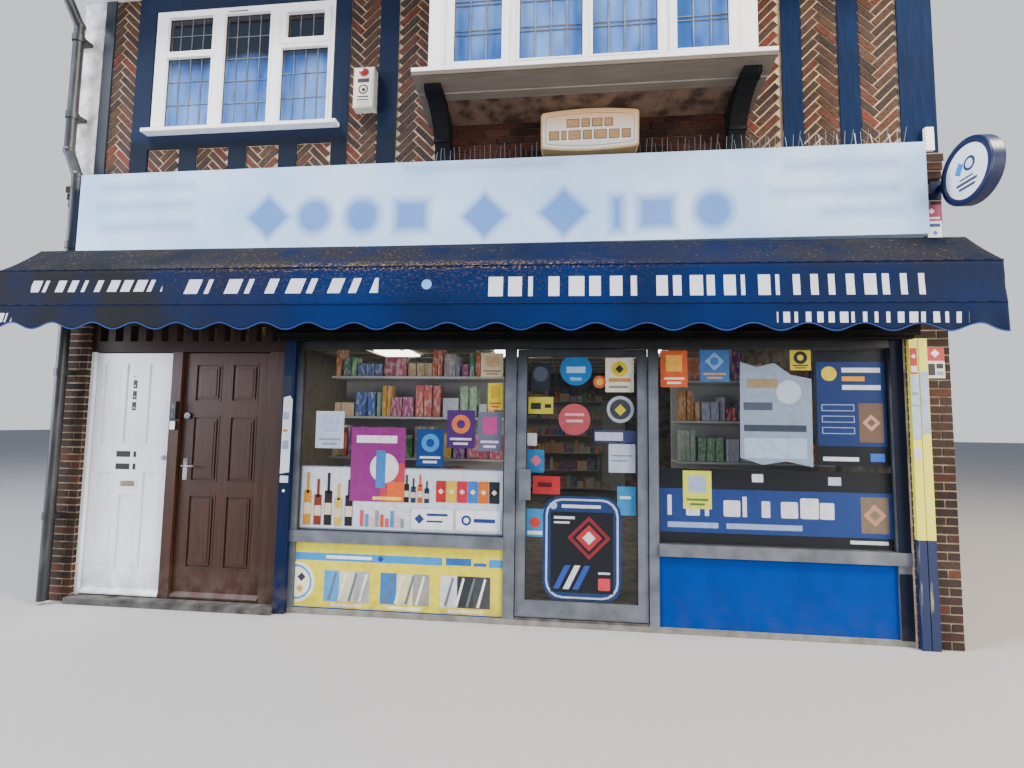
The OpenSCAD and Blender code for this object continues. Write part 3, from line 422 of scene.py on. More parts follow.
def splashed(tree, base, colour, top=0.4, most="#b0b0b0"):
    """Mud that rain has splashed up from the pavement, thickest at the foot."""
    marks = patches(tree, ((0.40, BLACK), (0.62, most)), 0.1, detail=8, place=4.0)
    return coats(tree, base, (where_all(tree, marks, fade(tree, 2, top, 0.03)), colour))


def toned(tree, stops):
    """A colour picked by each block's own tone."""
    tone = add(tree, "ShaderNodeAttribute", out="Fac", attribute_name="tone")
    return add(tree, "ShaderNodeValToRGB", {0: tone}, stops=stops)


def material(name, rough, colour, relief=None, **sockets):
    """A Principled material, kept in MAT under its name; colour is hex or a function of its
    tree, and relief is the depth in metres of a bump and the spots that make it."""
    mat = bpy.data.materials.new(name)
    mat.use_nodes = True
    tree = mat.node_tree
    shader = tree.nodes["Principled BSDF"]
    colour = colour(tree) if callable(colour) else colour
    for label, value in (("Base Color", colour), ("Roughness", rough), *sockets.items()):
        feed(tree, shader.inputs[label.replace("_", " ")], value)
    if relief:
        depth, *grain = relief
        made = add(tree, "ShaderNodeBump",
                   {"Height": spots(tree, *grain), "Distance": depth, "Strength": 1.0})
        tree.links.new(made, shader.inputs["Normal"])
    MAT[name] = mat


# Finishes of one kind in several colours

def brick_clay(name, soot, *stops):
    """Fired clay: matt, with a tone of its own per brick, sand drag marks and patches of soot."""
    def colour(tree):
        flecks = patches(tree, ((0.3, "#7d7470"), (0.55, WHITE), (0.75, "#fff0dc")), 0.009, (2.5, 2.5, 1))
        grime = patches(tree, ((0.42, WHITE), (0.72, soot)), 0.55, detail=5)
        return coats(tree, toned(tree, stops), (0.75, flecks, "MULTIPLY"), (0.8, grime, "MULTIPLY"))
    material(name, 0.92, colour, (0.002, 0.007), Specular_IOR_Level=0.25)


def mortar(name, colour, dark):
    """Sanded lime mortar, gritty at 3 mm and stained in soft patches."""
    def tint(tree):
        return patches(tree, ((0.35, dark), (0.6, colour)), 0.12, detail=6)
    material(name, 0.95, tint, (0.001, 0.003), Specular_IOR_Level=0.2)


def painted_timber(name, colour, worn, dirt, along=2, gloss=0.45, wear=0.66, grain="#b9bec6", sheen=0.5,
                   left=None):
    """Oil paint over softwood: brush lines and cracks run along the grain, bare in worn spots.
    Where left is given the paint fades to it leftwards as painted shade, and darkens under the left
    window's sill as painted shade with soot."""
    stretch = [1.0, 1.0, 1.0]
    stretch[along] = 14.0

    def tint(tree):
        shade = patches(tree, ((0.3, grain), (0.7, WHITE)), 0.02, stretch, 4)
        bare = patches(tree, ((wear, BLACK), (wear + 0.05, WHITE)), 0.028,
                       [s * 0.5 for s in stretch], 6, 4.0)
        base = coats(tree, colour, (0.85, shade, "MULTIPLY"), (bare, worn))
        if left:
            # Painted shade: the paint turns towards the left colour leftwards
            shade_west = fade(tree, 0, 1.4, -0.6)
            base = coats(tree, base, (shade_west, coats(tree, left, (0.35, base))))
            # Painted shade of the sill, with soot: the rails under the left window darken towards the dirt
            # colour
            sill_shade = where_all(tree, fade(tree, 2, 4.02, 3.93), shade_west)
            base = coats(tree, base, (sill_shade, coats(tree, base, (0.7, dirt))))
        soil = patches(tree, ((0.45, BLACK), (0.75, "#8c8c8c")), 0.35, detail=6, place=9.0)
        return splashed(tree, coats(tree, base, (soil, dirt)), "#5d564b")
    material(name, gloss, tint, (0.0008, 0.006, stretch, 4), Specular_IOR_Level=sheen)


def plastic(name, colour, dirt, rough=0.35, streak=0.5):
    """Moulded or extruded plastic: smooth, greyed by rain streaks that run down."""
    def tint(tree):
        marks = patches(tree, ((0.48, BLACK), (0.8, WHITE)), 0.09, (1, 1, 5), 6)
        return coats(tree, colour, (where_all(tree, marks, streak), dirt))
    material(name, rough, tint, (0.0004, 0.05, EVEN, 2))


def metal(name, colour, rough, brushed=(1, 1, 12), dull="#7f8184", head=0.0):
    """Bare metal with the fine drawn lines of its extrusion, dulled by handling. Head is how far painted
    shade darkens it under the canopy."""
    def tint(tree):
        bare = patches(tree, ((0.3, dull), (0.7, colour)), 0.15, detail=5)
        if not head:
            return bare
        # Painted shade: the frames darken towards near-black at their heads, under the canopy
        return coats(tree, bare, (where_all(tree, fade(tree, 2, 1.75, 2.12), head), "#141210"))
    material(name, rough, tint, (0.0002, 0.002, brushed, 2), Metallic=0.7)


def enamel(name, colour, dirt="#5b5a55", rough=0.3, amount=0.35, coat=0.0, sheen=0.5):
    """Sprayed enamel on sheet metal or board: even, with a faint orange peel and dust."""
    def tint(tree):
        marks = patches(tree, ((0.45, BLACK), (0.85, WHITE)), 0.22, (1, 1, 2), 7)
        dusty = coats(tree, colour, (where_all(tree, marks, amount), dirt))
        return splashed(tree, dusty, "#4c463d", most="#707070")
    material(name, rough, tint, (0.00015, 0.004), Coat_Weight=coat, Specular_IOR_Level=sheen)


def make_finishes():
    """Every finish that is one of the kinds above."""
    brick_clay("facing_brick", "#8f8780", (0.0, "#332b28"), (0.14, "#4b3a32"), (0.3, "#3f322d"),
               (0.45, "#56402f"), (0.6, "#463731"), (0.76, "#5a3d31"), (0.92, "#613a2d"), (1.0, "#70372b"))
    brick_clay("pier_brick", "#7d756e", (0.0, "#2a2422"), (0.2, "#3d312b"), (0.4, "#352b27"),
               (0.6, "#46362e"), (0.8, "#3b302b"), (0.94, "#54362b"), (1.0, "#60392c"))
    # The bay's bricks are a darker copy of the facing brick: painted shade under the bay
    brick_clay("bay_brick", "#5d524b", (0.0, "#2b1a14"), (0.3, "#3f231a"), (0.6, "#4d2b1f"),
               (0.85, "#341d16"), (1.0, "#573326"))
    brick_clay("stock_brick", "#8f8780", (0.0, "#4b3229"), (0.25, "#6b4233"), (0.5, "#774b3a"),
               (0.7, "#5c3b2f"), (0.9, "#825543"), (1.0, "#43332d"))
    brick_clay("clay_tile", "#7a7468", (0.0, "#4d2f26"), (0.3, "#6f3e2d"), (0.55, "#7f4a35"),
               (0.8, "#5c3a2e"), (1.0, "#8f5a41"))
    mortar("cream_mortar", "#d2bb98", "#a08765")
    mortar("pier_mortar", "#a3937b", "#6e6152")
    mortar("dark_mortar", "#6a5a4e", "#3f342d")
    mortar("grey_mortar", "#9b948a", "#6f675e")
    # Near-black mortar: painted shade under the bay and the eaves
    mortar("soot_mortar", "#463a32", "#261f1b")
    mortar("white_render", "#e4e6e8", "#a9abac")
    mortar("party_render", "#8f887c", "#837b6f")
    mortar("concrete", "#86847e", "#6c6a65")
    mortar("worn_step", "#5f5d5a", "#3b3a38")
    mortar("plaster", "#dcd6c8", "#b9b2a3")
    mortar("stained_plaster", "#6b5648", "#3a2d26")
    # The left colour is painted shade on the left of the front
    painted_timber("navy_timber", "#162a4c", "#2c374a", "#1c2026", gloss=0.75, wear=0.72, sheen=0.04,
                   left="#262d3a")
    painted_timber("blue_gloss", "#0b1d40", "#46536b", "#14161c", gloss=0.5, wear=0.74, sheen=0.1)
    painted_timber("brown_paint", "#402414", "#6a5040", "#1d130d", gloss=0.45, wear=0.77, sheen=0.3)
    # The entrance head is a darker copy of the brown paint: painted shade under the canopy
    painted_timber("brown_head", "#2e1f19", "#55453d", "#1a1310", 0, 0.6, 0.74, sheen=0.15)
    painted_timber("white_paint", "#e8eef6", "#c6c7c3", "#cfcec8", 2, 0.35, 0.8, "#efefef")
    # Dark timber is a near-black copy of the navy paint: painted shade on the leftmost post
    painted_timber("dark_timber", "#1e2229", "#5a5f66", "#2e3034", gloss=0.5, wear=0.72)
    painted_timber("bracket_timber", "#121214", "#37332f", "#17120f", 2, 0.6, sheen=0.12)
    painted_timber("grey_board", "#71675c", "#574d43", "#3b332b", 0, 0.7, 0.68, "#dcdcdc", 0.15)
    plastic("window_plastic", "#ffffff", "#d0ccc4", 0.3, 0.3)
    plastic("black_plastic", "#1f2124", "#5d6165", 0.45, 0.7)
    plastic("cream_plastic", "#ece2cb", "#9a8d76", 0.4, 0.4)
    plastic("black_case", "#141518", "#3a3b3d", 0.3, 0.3)
    plastic("rubber_seal", "#17181a", "#4a4a4a", 0.6, 0.4)
    # Its head is painted shade under the canopy
    metal("aluminium", "#80858d", 0.5, dull="#62666c", head=0.85)
    metal("bar_steel", "#7d8288", 0.4, (12, 1, 1))
    metal("chrome", "#d9dde0", 0.12)
    metal("lead", "#55585c", 0.6, EVEN)
    metal("lead_sheet", "#6f7378", 0.6)
    metal("aged_brass", "#8d7f62", 0.5, dull="#5f5544")
    enamel("riser_blue", "#03388c", "#10264a", 0.6, 0.4, 0.0, 0.04)
    # The shutter case's near-black colour and dirt are painted shade under the canopy
    enamel("shutter_steel", "#0d0d0e", "#1d1b19", 0.6, 0.6, 0.0, 0.08)
    enamel("navy_enamel", "#0f1d42", "#2b3548", 0.35, 0.3, 0.1, 0.3)
    enamel("end_post", "#0b1226", "#1a2132", 0.55, 0.5, 0.0, 0.15)
    enamel("white_acrylic", "#eceff2", "#a7abb0", 0.25, 0.35, 0.3)
    enamel("cream_rim", "#c9a979", "#7d6a4c", 0.35, 0.5)
    enamel("tan_line", "#8d7754")
    enamel("soffit_bead", "#958e85", "#453f38", 0.7, 0.9)
    enamel("ridge_clay", "#6b3d2d", "#4c4a40", 0.85, 0.7)
    enamel("red_lamp", "#a3201c", "#4c1512", 0.15, 0.2, 0.6)
    enamel("shelf_steel", "#c7c6c0", "#7b776d", 0.45)
    enamel("piping", "#1f3b73", "#151f38", 0.7, 0.6, 0.0, 0.15)
    enamel("seam_cord", "#0e1d40", "#10141e", 0.7, 0.6, 0.0, 0.1)


# Brickwork and tiles

def blocks(name, items, finish, slot, taper=0.0, wobble=0.0, depth_change=0.0, seed=1, cuts=()):
    """Many blocks in one mesh; items are (place, size, turn, tone), and cuts are planes as
    (point, normal) that take off what lies beyond them."""
    mesh = bpy.data.meshes.new(name)
    mesh.from_pydata([i[0] for i in items], [], [])
    for column, label in ((1, "size"), (2, "turn")):
        values = [c for i in items for c in i[column]]
        mesh.attributes.new(label, "FLOAT_VECTOR", "POINT").data.foreach_set("vector", values)
    mesh.attributes.new("tone", "FLOAT", "POINT").data.foreach_set("value", [i[3] for i in items])
    obj = placed(name, mesh)
    grow(obj, BLOCKS, finish, {
        "Taper": taper, "Wobble": wobble, "Depth change": depth_change, "Seed": seed})
    if cuts:
        bm = bmesh.new()
        bm.from_mesh(obj.data)
        for point, normal in cuts:
            cut = bmesh.ops.bisect_plane(bm, geom=bm.verts[:] + bm.edges[:] + bm.faces[:], plane_co=point,
                                         plane_no=normal, clear_outer=True)
            edges = [e for e in cut["geom_cut"] if isinstance(e, bmesh.types.BMEdge)]
            bmesh.ops.holes_fill(bm, edges=edges)
        bm.to_mesh(obj.data)
        bm.free()
    for label in ("size", "turn"):
        if label in obj.data.attributes:
            obj.data.attributes.remove(obj.data.attributes[label])
    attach(obj, "building")


def spans(start, end, holes):
    """What is left of start to end when the holes are taken out."""
    left = [(start, end)]
    for a, b in holes:
        left = [p for s, e in left for p in ((s, min(e, a)), (max(s, b), e)) if p[1] - p[0] > 0.001]
    return left


def courses(start, end, z0, z1, bond, rng, holes=(), limit=None):
    """Bricks of a wall as (middle along the wall, middle height, length, height, tone); holes
    are (start, end, z0, z1), and limit gives the wall's ends at a height."""
    out = []
    lengths = {"stretcher": [STRETCHER], "flemish": [STRETCHER, HEADER]}[bond]
    period = sum(lengths) + JOINT * len(lengths)
    row = 0
    z = z0
    while z < z1 - 0.02:
        top = min(z + COURSE - JOINT, z1)
        a, b = (start, end) if limit is None else limit(top)
        taken = [(h[0], h[1]) for h in holes if h[2] < top - 0.005 and h[3] > z + 0.005]
        x = start - period - (row % 2) * period / 2
        i = 0
        while x < end:
            length = lengths[i % len(lengths)]
            shown = max(x, a), min(x + length, b)
            for s, e in spans(*shown, taken) if shown[1] > shown[0] else []:
                if e - s > 0.035:
                    out.append(((s + e) / 2, (z + top) / 2, e - s, top - z, rng.random()))
            x += length + JOINT
            i += 1
        z += COURSE
        row += 1
    return out


def on_wall(layout, wall, turn, proud):
    """Stands a wall's layout up: wall is the face's distance from the origin, turn says which
    way it faces."""
    angle = math.radians(turn)
    along = Vector((math.cos(angle), math.sin(angle), 0))
    out = Vector((math.sin(angle), -math.cos(angle), 0))
    items = []
    for u, z, length, tall, tone in layout:
        place = along * u + out * (wall + proud / 2 - 0.001) + Vector((0, 0, z))
        items.append((place, (length, proud + 0.002, tall), (0, 0, angle), tone))
    return items


def herringbone(x0, x1, z0, z1, point_up, rng):
    """Bricks at 45 degrees that meet in the middle of a panel, pointing up or down."""
    items = []
    size = STRETCHER, 0.018, COURSE - JOINT
    root = math.sqrt(0.5)
    flip = -1 if point_up else 1
    reach = (STRETCHER + JOINT) / 2
    for k in range(-4, int((z1 - z0 + 1.0) / (COURSE / root)) + 2):
        for side in (0, 1):
            if side == 0:
                u, v = k * COURSE + reach, k * COURSE + COURSE / 2
            else:
                u, v = k * COURSE + COURSE / 2, (k + 1) * COURSE + reach
            x = (u - v) * root
            z = (u + v) * root
            tilt = -45 if side == 0 else 45
            z = z1 + 0.15 - z if point_up else z0 - 0.15 + z
            if z0 - 0.13 < z < z1 + 0.13:
                place = Vector(((x0 + x1) / 2 + x, WALL_FACE - 0.009, z))
                items.append((place, size, (0, math.radians(tilt * flip), 0), rng.random()))
    return items


def nogging():
    """Panels of brick between the upper posts."""
    rng = random.Random(11)
    base = low("bay_base").x - 0.003, high("bay_base").x + 0.003
    # The bay's posts and the levels at which its base stands before the brickwork
    posts = -0.268, 2.202
    base_foot, base_top = 3.998, 4.147
    panels = [
        (-3.283, -3.042, SOFFIT, True, None), (-1.041, -0.777, SOFFIT, False, None),
        (-0.613, -0.222, SOFFIT, True, 0), (2.156, 2.495, SOFFIT, False, 1),
        (2.643, 2.913, SOFFIT, True, None), (3.061, 3.345, SOFFIT, False, None)]
    # Four small panels under the left window, between its studs
    start, wide, sill, run = -2.881, 0.3, 3.903, 1.706
    stud = (run - 4 * wide - 0.02) / 3
    for i in range(4):
        x = start + 0.01 + i * (wide + stud)
        panels.append((x, x + wide, sill, i % 2 == 1, None))
    bm = bmesh.new()
    for n, (x0, x1, z1, up, bay_side) in enumerate(panels):
        z0 = PIER_TOP
        items = herringbone(x0, x1, z0, z1, up, rng)
        parts = [(x0, x1, z0, z1)]
        if bay_side is not None:
            post, edge = posts[bay_side], base[bay_side]
            lower, middle = ((post, x1), (edge, x1)) if bay_side else ((x0, post), (x0, edge))
            parts = [lower + (z0, base_foot), middle + (base_foot, base_top), (x0, x1, base_top, z1)]
        for k, (a, b, c, d) in enumerate(parts):
            add_box(bm, (a, b), (WALL_FACE - 0.013, WALL_FACE), (c, d))
            # Bricks keep a joint's width from the frame, not from the panel's other parts
            e, f, g, h = (0.007 if abs(v - w) < 0.001 else 0.0
                          for v, w in ((a, x0), (b, x1), (c, z0), (d, z1)))
            blocks(f"herringbone_{n + 1}_{k + 1}", items, "facing_brick", "old_brick", 0.02, 0.012, 0.0015,
                   n + 3, [((a + e, 0, 0), (-1, 0, 0)), ((b - f, 0, 0), (1, 0, 0)),
                           ((0, 0, c + g), (0, 0, -1)), ((0, 0, d - h), (0, 0, 1))])
    piece("nogging_mortar", bm, "cream_mortar")
    # The mortar under the bay and under the eaves is painted shade
    bm = bmesh.new()
    for x0, x1, z0, z1 in ((-0.198, 2.132, PIER_TOP, base_foot), (-0.222, 2.156, 5.24, SOFFIT)):
        add_box(bm, (x0, x1), (WALL_FACE - 0.012, WALL_FACE), (z0, z1))
    piece("bay_panel_mortar", bm, "soot_mortar")
    layout = courses(-0.198, 2.132, PIER_TOP + 0.004, 3.995, "stretcher", rng)
    blocks("bay_panel_bricks", on_wall(layout, 3.987, 0, 0.006), "bay_brick", "old_brick",
           0.02, 0.008, 0.001, 5)


def walls():
    """Coursed bricks on the piers, the flank, the rear and the chimney, each a few millimetres
    short of its corners."""
    rng = random.Random(5)
    items = []
    proud = 0.005
    pier_head = 3.397
    # Each pier's ends, and where its corbelled head starts
    for x0, x1, c0 in ((LEFT, -PIER_EDGE, LEFT), (PIER_EDGE, RIGHT, 3.375)):
        layout = courses(x0 + 0.004, x1 - 0.002, 0.004, pier_head, "stretcher", rng)
        items += on_wall(layout, -FRONT, 0, proud)
        for i in range(3):
            z = pier_head + i * COURSE
            layout = courses(c0 + 0.003, x1 - 0.003, z, z + COURSE - 0.001, "stretcher", rng)
            items += on_wall(layout, 4.015 + 0.015 * i, 0, proud)
    layout = courses(FRONT, PIER_BACK, 0.004, PIER_TOP - 0.005, "stretcher", rng)
    items += on_wall(layout, -PIER_EDGE, 90, 0.003)
    blocks("pier_bricks", items, "pier_brick", "old_brick", 0.02, 0.006, 0.001, 2)

    def gable(z):
        reach = min(REAR, (APEX - z) / math.tan(PITCH)) - 0.01
        return -reach, reach
    corner = (-4.1, WALL_FACE, PIER_TOP, 9)
    layout = courses(-3.996, 3.996, 0.004, 8.74, "flemish", rng, [corner], gable)
    blocks("flank_bricks", on_wall(layout, RIGHT, 90, proud), "stock_brick", "old_brick",
           0.02, 0.004, 0.0008, 3)
    holes = []
    for x0, x1, z0, z1 in REAR_HOLES:
        holes += [(-x1, -x0, z0, z1), (-x1 - 0.1, -x0 + 0.1, z1, z1 + 0.154)]
        # A window has a sill, the door has none
        if z0 > 0.5:
            holes.append((-x1 - 0.05, -x0 + 0.05, z0 - 0.05, z0 + 0.01))
    layout = courses(-3.592, 3.592, 0.004, SOFFIT, "flemish", rng, holes)
    blocks("rear_bricks", on_wall(layout, REAR, 180, proud), "stock_brick", "rear_brick",
           0.02, 0.004, 0.0008, 4)
    # The two top courses of the chimney step out
    head = high("chimney_stack").z - 0.38
    items = []
    for z0, z1, grow_by in ((7.9, head - 2 * COURSE, 0.0), (head - 2 * COURSE, head - COURSE, 0.025),
                            (head - COURSE, head, 0.05)):
        x0, x1, y1 = LEFT, LEFT + CHIMNEY + grow_by, CHIMNEY + grow_by
        for turn, wall, a, b in ((0, y1, x0, x1), (180, y1, -x1, -x0),
                                 (90, x1, -y1, y1), (-90, -x0, -y1, y1)):
            layout = courses(a + 0.003, b - 0.003, z0, z1, "stretcher", rng)
            items += on_wall(layout, wall, turn, proud)
    blocks("chimney_bricks", items, "stock_brick", "rear_brick", 0.02, 0.004, 0.0008, 6)


def rear_trim():
    """Concrete lintels and sills of the rear openings, and the panels and lever of the door."""
    stone, panels, lever = bmesh.new(), bmesh.new(), bmesh.new()
    for x0, x1, z0, z1 in REAR_HOLES:
        add_box(stone, (x0 - 0.095, x1 + 0.095), (REAR, REAR + 0.007), (z1 + 0.001, z1 + 0.155), 0.002)
        if z0 > 0.5:
            add_box(stone, (x0 - 0.045, x1 + 0.045), (REAR + 0.001, REAR + 0.045),
                    (z0 - 0.05, z0 + 0.017), 0.004)
            add_box(stone, (x0 + 0.002, x1 - 0.002), (REAR - 0.07, REAR + 0.001),
                    (z0 + 0.001, z0 + 0.015), 0.002)
    face = high("rear_joinery").y
    for x0, x1 in ((1.38, 1.67), (1.75, 2.04)):
        for z0, z1 in ((0.22, 0.86), (1.02, 1.94)):
            frame_of_strips(panels, x0, x1, z0, z1, face + 0.008, 0.022, 0.0085)
    add_box(lever, (2.065, 2.105), (face, face + 0.006), (0.93, 1.10), 0.002)
    add_tube(lever, (2.085, face + 0.004, 1.03), (2.085, face + 0.045, 1.03), 0.008)
    add_tube(lever, (2.090, face + 0.042, 1.03), (1.985, face + 0.042, 1.03), 0.008)
    piece("rear_lintels_sills", stone, "concrete")
    piece("rear_door_panels", panels, "white_paint")
    piece("rear_door_lever", lever, "chrome")


def roof_tiles():
    """Plain clay tiles in broken bond, 100 mm of each one showing."""
    rng = random.Random(8)
    gauge, wide, thick, long, lift = 0.1, 0.166, 0.013, 0.128, 0.012
    overhang = 4.25
    slope = overhang / math.cos(PITCH)
    # Each tile lies 4 degrees flatter than the roof, on the one below it
    tilt = PITCH - math.radians(90 + 4)
    for name, turn in (("front_tiles", 0), ("rear_tiles", 180)):
        items = []
        for row in range(int(slope / gauge) + 1):
            s = -0.03 + row * gauge + long / 2
            if s > slope - 0.02:
                break
            y = -overhang + s * math.cos(PITCH)
            z = APEX + ROOF_V + y * math.tan(PITCH)
            x = LEFT + (row % 2) * wide / 2 - wide / 2
            while x < RIGHT + 0.06:
                a, b = max(x, LEFT), min(x + wide - 0.003, RIGHT + 0.064)
                behind_chimney = b < LEFT + CHIMNEY and abs(y) < CHIMNEY + 0.01
                if b - a > 0.03 and not behind_chimney:
                    place = Vector(((a + b) / 2, y - lift * math.sin(PITCH), z + lift * math.cos(PITCH)))
                    if turn:
                        place.y = -place.y
                    items.append((place, (b - a, thick, long), (tilt, 0, math.radians(turn)), rng.random()))
                x += wide
        blocks(name, items, "clay_tile", "roof_tiles", 0.01, 0.012, 0.001, 9)


# Leaded lights and joinery of the upper front

LEAD_SPACING = 0.112, 0.215


def leads(name, panes):
    """Lead strips on both sides of each pane; a pane is (x0, x1, z0, z1, y, side), and side 1
    turns it to face along X."""
    bm = bmesh.new()
    for x0, x1, z0, z1, y, side in panes:
        strips = placed("pane_leads", bpy.data.meshes.new("pane_leads"))
        grow(strips, LEADS, "lead", {
            "Width": x1 - x0, "Height": z1 - z0, "Strip": 0.010,
            "Across": max(2, round((x1 - x0) / LEAD_SPACING[0])),
            "Up": max(1, round((z1 - z0) / LEAD_SPACING[1]))})
        mesh = strips.data
        bpy.data.objects.remove(strips)
        u, z = (x0 + x1) / 2, (z0 + z1) / 2
        place = Matrix.Translation((y, u, z) if side else (u, y, z))
        mesh.transform(place @ Matrix.Rotation(math.radians(90 * side), 4, "Z"))
        bm.from_mesh(mesh)
        bpy.data.meshes.remove(mesh)
    piece(name, bm, "lead")


def islands(name):
    """The box of each separate solid of a CAD node, as (low corner, high corner)."""
    bm = bmesh.new()
    bm.from_mesh(NODES[name].data)
    bmesh.ops.remove_doubles(bm, verts=bm.verts, dist=1e-5)
    seen, out = set(), []
    for start in bm.verts:
        if start in seen:
            continue
        group, stack = [], [start]
        seen.add(start)
        while stack:
            v = stack.pop()
            group.append(v.co.copy())
            for e in v.link_edges:
                other = e.other_vert(v)
                if other not in seen:
                    seen.add(other)
                    stack.append(other)
        out.append(tuple(Vector([pick(c[i] for c in group) for i in range(3)]) for pick in (min, max)))
    bm.free()
    return sorted(out, key=lambda b: (round(b[0].y, 2), b[0].x, b[0].z))


def frame_of_strips(bm, x0, x1, z0, z1, y, wide, thick):
    """Four flat strips just inside an opening, on the street side of y."""
    for a, b, c, d in ((x0, x1, z0, z0 + wide), (x0, x1, z1 - wide, z1),
                       (x0, x0 + wide, z0 + wide, z1 - wide), (x1 - wide, x1, z0 + wide, z1 - wide)):
        add_box(bm, (a, b), (y - thick, y), (c, d))


def moulding(bm, x0, x1, z0, z1, y, wide=0.012, thick=0.006):
    """A mitred bead around a sunk panel, on the street side of y."""
    outer = rect(x0, x1, z0, z1)
    inner = rect(x0 + wide, x1 - wide, z0 + wide, z1 - wide)
    for i in range(4):
        j = (i + 1) % 4
        add_plate(bm, [outer[i], outer[j], inner[j], inner[i]], y, thick)


def window_dressing():
    """Leads, seals, sashes and vent of the upper windows."""
    panes, seals, sashes = [], bmesh.new(), bmesh.new()
    off = 0.0035
    for lo, hi in islands("window_glass"):
        if lo.y > 0:
            continue
        if hi.x - lo.x > 0.1:
            bay = lo.y < -4.1
            face = -4.45 if bay else -3.995
            panes += [(lo.x, hi.x, lo.z, hi.z, y, 0) for y in (lo.y - off, hi.y + off)]
            frame_of_strips(seals, lo.x, hi.x, lo.z, hi.z, lo.y, 0.006, 0.004)
            opens = not 0.4 < lo.x < 1.5 if bay else lo.x > -1.75 and lo.z > 4.8
            wide, thick = (0.042, 0.013) if opens else (0.014, 0.006)
            moulding(sashes, lo.x - wide, hi.x + wide, lo.z - wide, hi.z + wide, face, wide, thick)
        else:
            x = lo.x - off if lo.x < BAY_X else hi.x + off
            panes.append((lo.y, hi.y, lo.z, hi.z, x, 1))
    leads("window_leads", panes)
    second = bmesh.new()
    for x0, x1, z0, z1, y, side in panes:
        rows = max(1, round((z1 - z0) / LEAD_SPACING[1]))
        for row in range(1, rows if side or y < -4.1 else 0):
            z = z0 + row * (z1 - z0) / rows + 0.032
            thin, long = (y - 0.002, y + 0.002), (x0, x1)
            add_box(second, *((thin, long) if side else (long, thin)), (z - 0.004, z + 0.004))
    piece("second_leads", second, "lead")
    piece("window_seals", seals, "rubber_seal")
    add_box(sashes, (-2.19, -1.98), (-4.004, -3.995), (5.142, 5.166), 0.003)
    lo, hi = low("bay_base"), high("bay_base")
    add_box(sashes, (lo.x - 0.002, hi.x + 0.002), (lo.y - 0.008, lo.y), (4.112, 4.142), 0.003)
    piece("window_sashes", sashes, "window_plastic")
    bm = bmesh.new()
    add_box(bm, (-2.175, -1.995), (-4.0052, -4.0038), (5.148, 5.158))
    piece("window_vent", bm, "black_case")


def bay_underside():
    """Boards, bead and stained plaster under the bay, and the bands of its brackets."""
    lo, hi = low("bay_base"), high("bay_base")
    x0, x1 = lo.x + 0.003, hi.x - 0.003
    inset = 0.08
    parts = {name: bmesh.new() for name in ("boards", "bead", "plaster", "bands")}
    add_box(parts["boards"], (lo.x - 0.001, hi.x + 0.001), (lo.y - 0.005, lo.y), (4.082, 4.111), 0.002)
    for name, a, b, thick, end in (
            ("boards", -4.335, -4.496, 0.008, 0.0), ("boards", -4.255, -4.325, 0.006, 0.0),
            ("bead", -4.325, -4.335, 0.010, 0.0), ("plaster", -3.99, -4.25, 0.003, inset)):
        z0, z1 = (4.0 + 0.18 * (FRONT - y) for y in (a, b))
        points = [(a, z0), (b, z1), (b, z1 - thick), (a, z0 - thick)]
        add_profile(parts[name], points, x0 + end, x1 - end)
    for foot, head in islands("bay_brackets"):
        for y, z0, z1, proud in ((-4.390, 4.030, 4.050, 0.007), (-4.386, 4.009, 4.021, 0.004),
                                 (-4.108, 3.795, 3.838, 0.006), (-4.122, 3.844, 3.856, 0.003)):
            add_box(parts["bands"], (foot.x - proud, head.x + proud), (y, -4.035), (z0, z1), 0.003)
    piece("bay_soffit_boards", parts["boards"], "grey_board")
    piece("bay_soffit_bead", parts["bead"], "soffit_bead")
    piece("bay_soffit_plaster", parts["plaster"], "stained_plaster")
    piece("bracket_bands", parts["bands"], "bracket_timber")


# Canopy

LEAN = math.radians(0.4)
# Y and Z of the cloth's back edge, its brow and its lower bar
BACK, BROW, BAR = (-4.205, 2.904), (-4.5, 2.645), (-4.515, 2.370)
VALANCE = 0.19
SCALLOP = 0.05
SCALLOPS = 21
CANOPY_HALF = 3.594
CANOPY_WIDE = 7.19
COLUMNS = 504
# Steps down each of slope, face and valance
STEPS = 8
RAFTERS = [-3.13 + i * (6.35 / 3) for i in range(4)]


def leaned(x, y, z):
    """A point of the canopy as it hangs: it leans down to the right by 0.4 degrees."""
    a, b = math.cos(LEAN), math.sin(LEAN)
    h = z - BACK[1]
    return Vector((x * a + h * b, y, BACK[1] - x * b + h * a))


def column(c, count=COLUMNS):
    """X of one of the canopy's columns."""
    return -CANOPY_HALF + 2 * CANOPY_HALF * c / count


def turn_of(x):
    """How far round the scallops' wave a place along the canopy is."""
    return math.tau * (x + CANOPY_WIDE / 2) * SCALLOPS / CANOPY_WIDE


def part_way(a, b, t):
    """The place at share t of the way from a to b."""
    return [u + (v - u) * t for u, v in zip(a, b)]


def hang(part, x, t):
    """Y, Z and dust of the cloth at share t of the way down one of its parts: the slope sags
    between its rafters, the face is hollow, and the last 0.7 m on the right is wrinkled."""
    n = noise.noise(Vector((x * 1.7, t * 2, 3 if part == "slope" else 7)))
    wrinkled = max(0.0, (x - 2.9) / 0.7)
    if part == "slope":
        y, z = part_way(BACK, BROW, t)
        near = min(abs(x - r) for r in RAFTERS)
        sag = math.sin(math.pi * t) * (0.004 + 0.008 * min(1, near / 0.8) + 0.003 * n)
        return y + sag * 0.6, z - sag * 0.75, 1.0
    if part == "face":
        y, z = part_way(BROW, BAR, t)
        wrinkle = wrinkled * 0.006 * math.sin(x * 38 + t * 5) ** 2
        return y + math.sin(math.pi * t) * (0.003 + 0.002 * n + wrinkle), z, 0.15 * (1 - t)
    hem = BAR[1] - VALANCE + SCALLOP / 2 * (1 - math.cos(turn_of(x)))
    fine = noise.noise(Vector((x * 9, t * 3, 5)))
    wave = 0.004 * n + 0.0025 * math.sin(turn_of(x)) + 0.002 * fine + wrinkled * 0.01 * math.sin(x * 29)
    return BAR[0] + t * wave, BAR[1] + (hem - BAR[1]) * t, 0.0


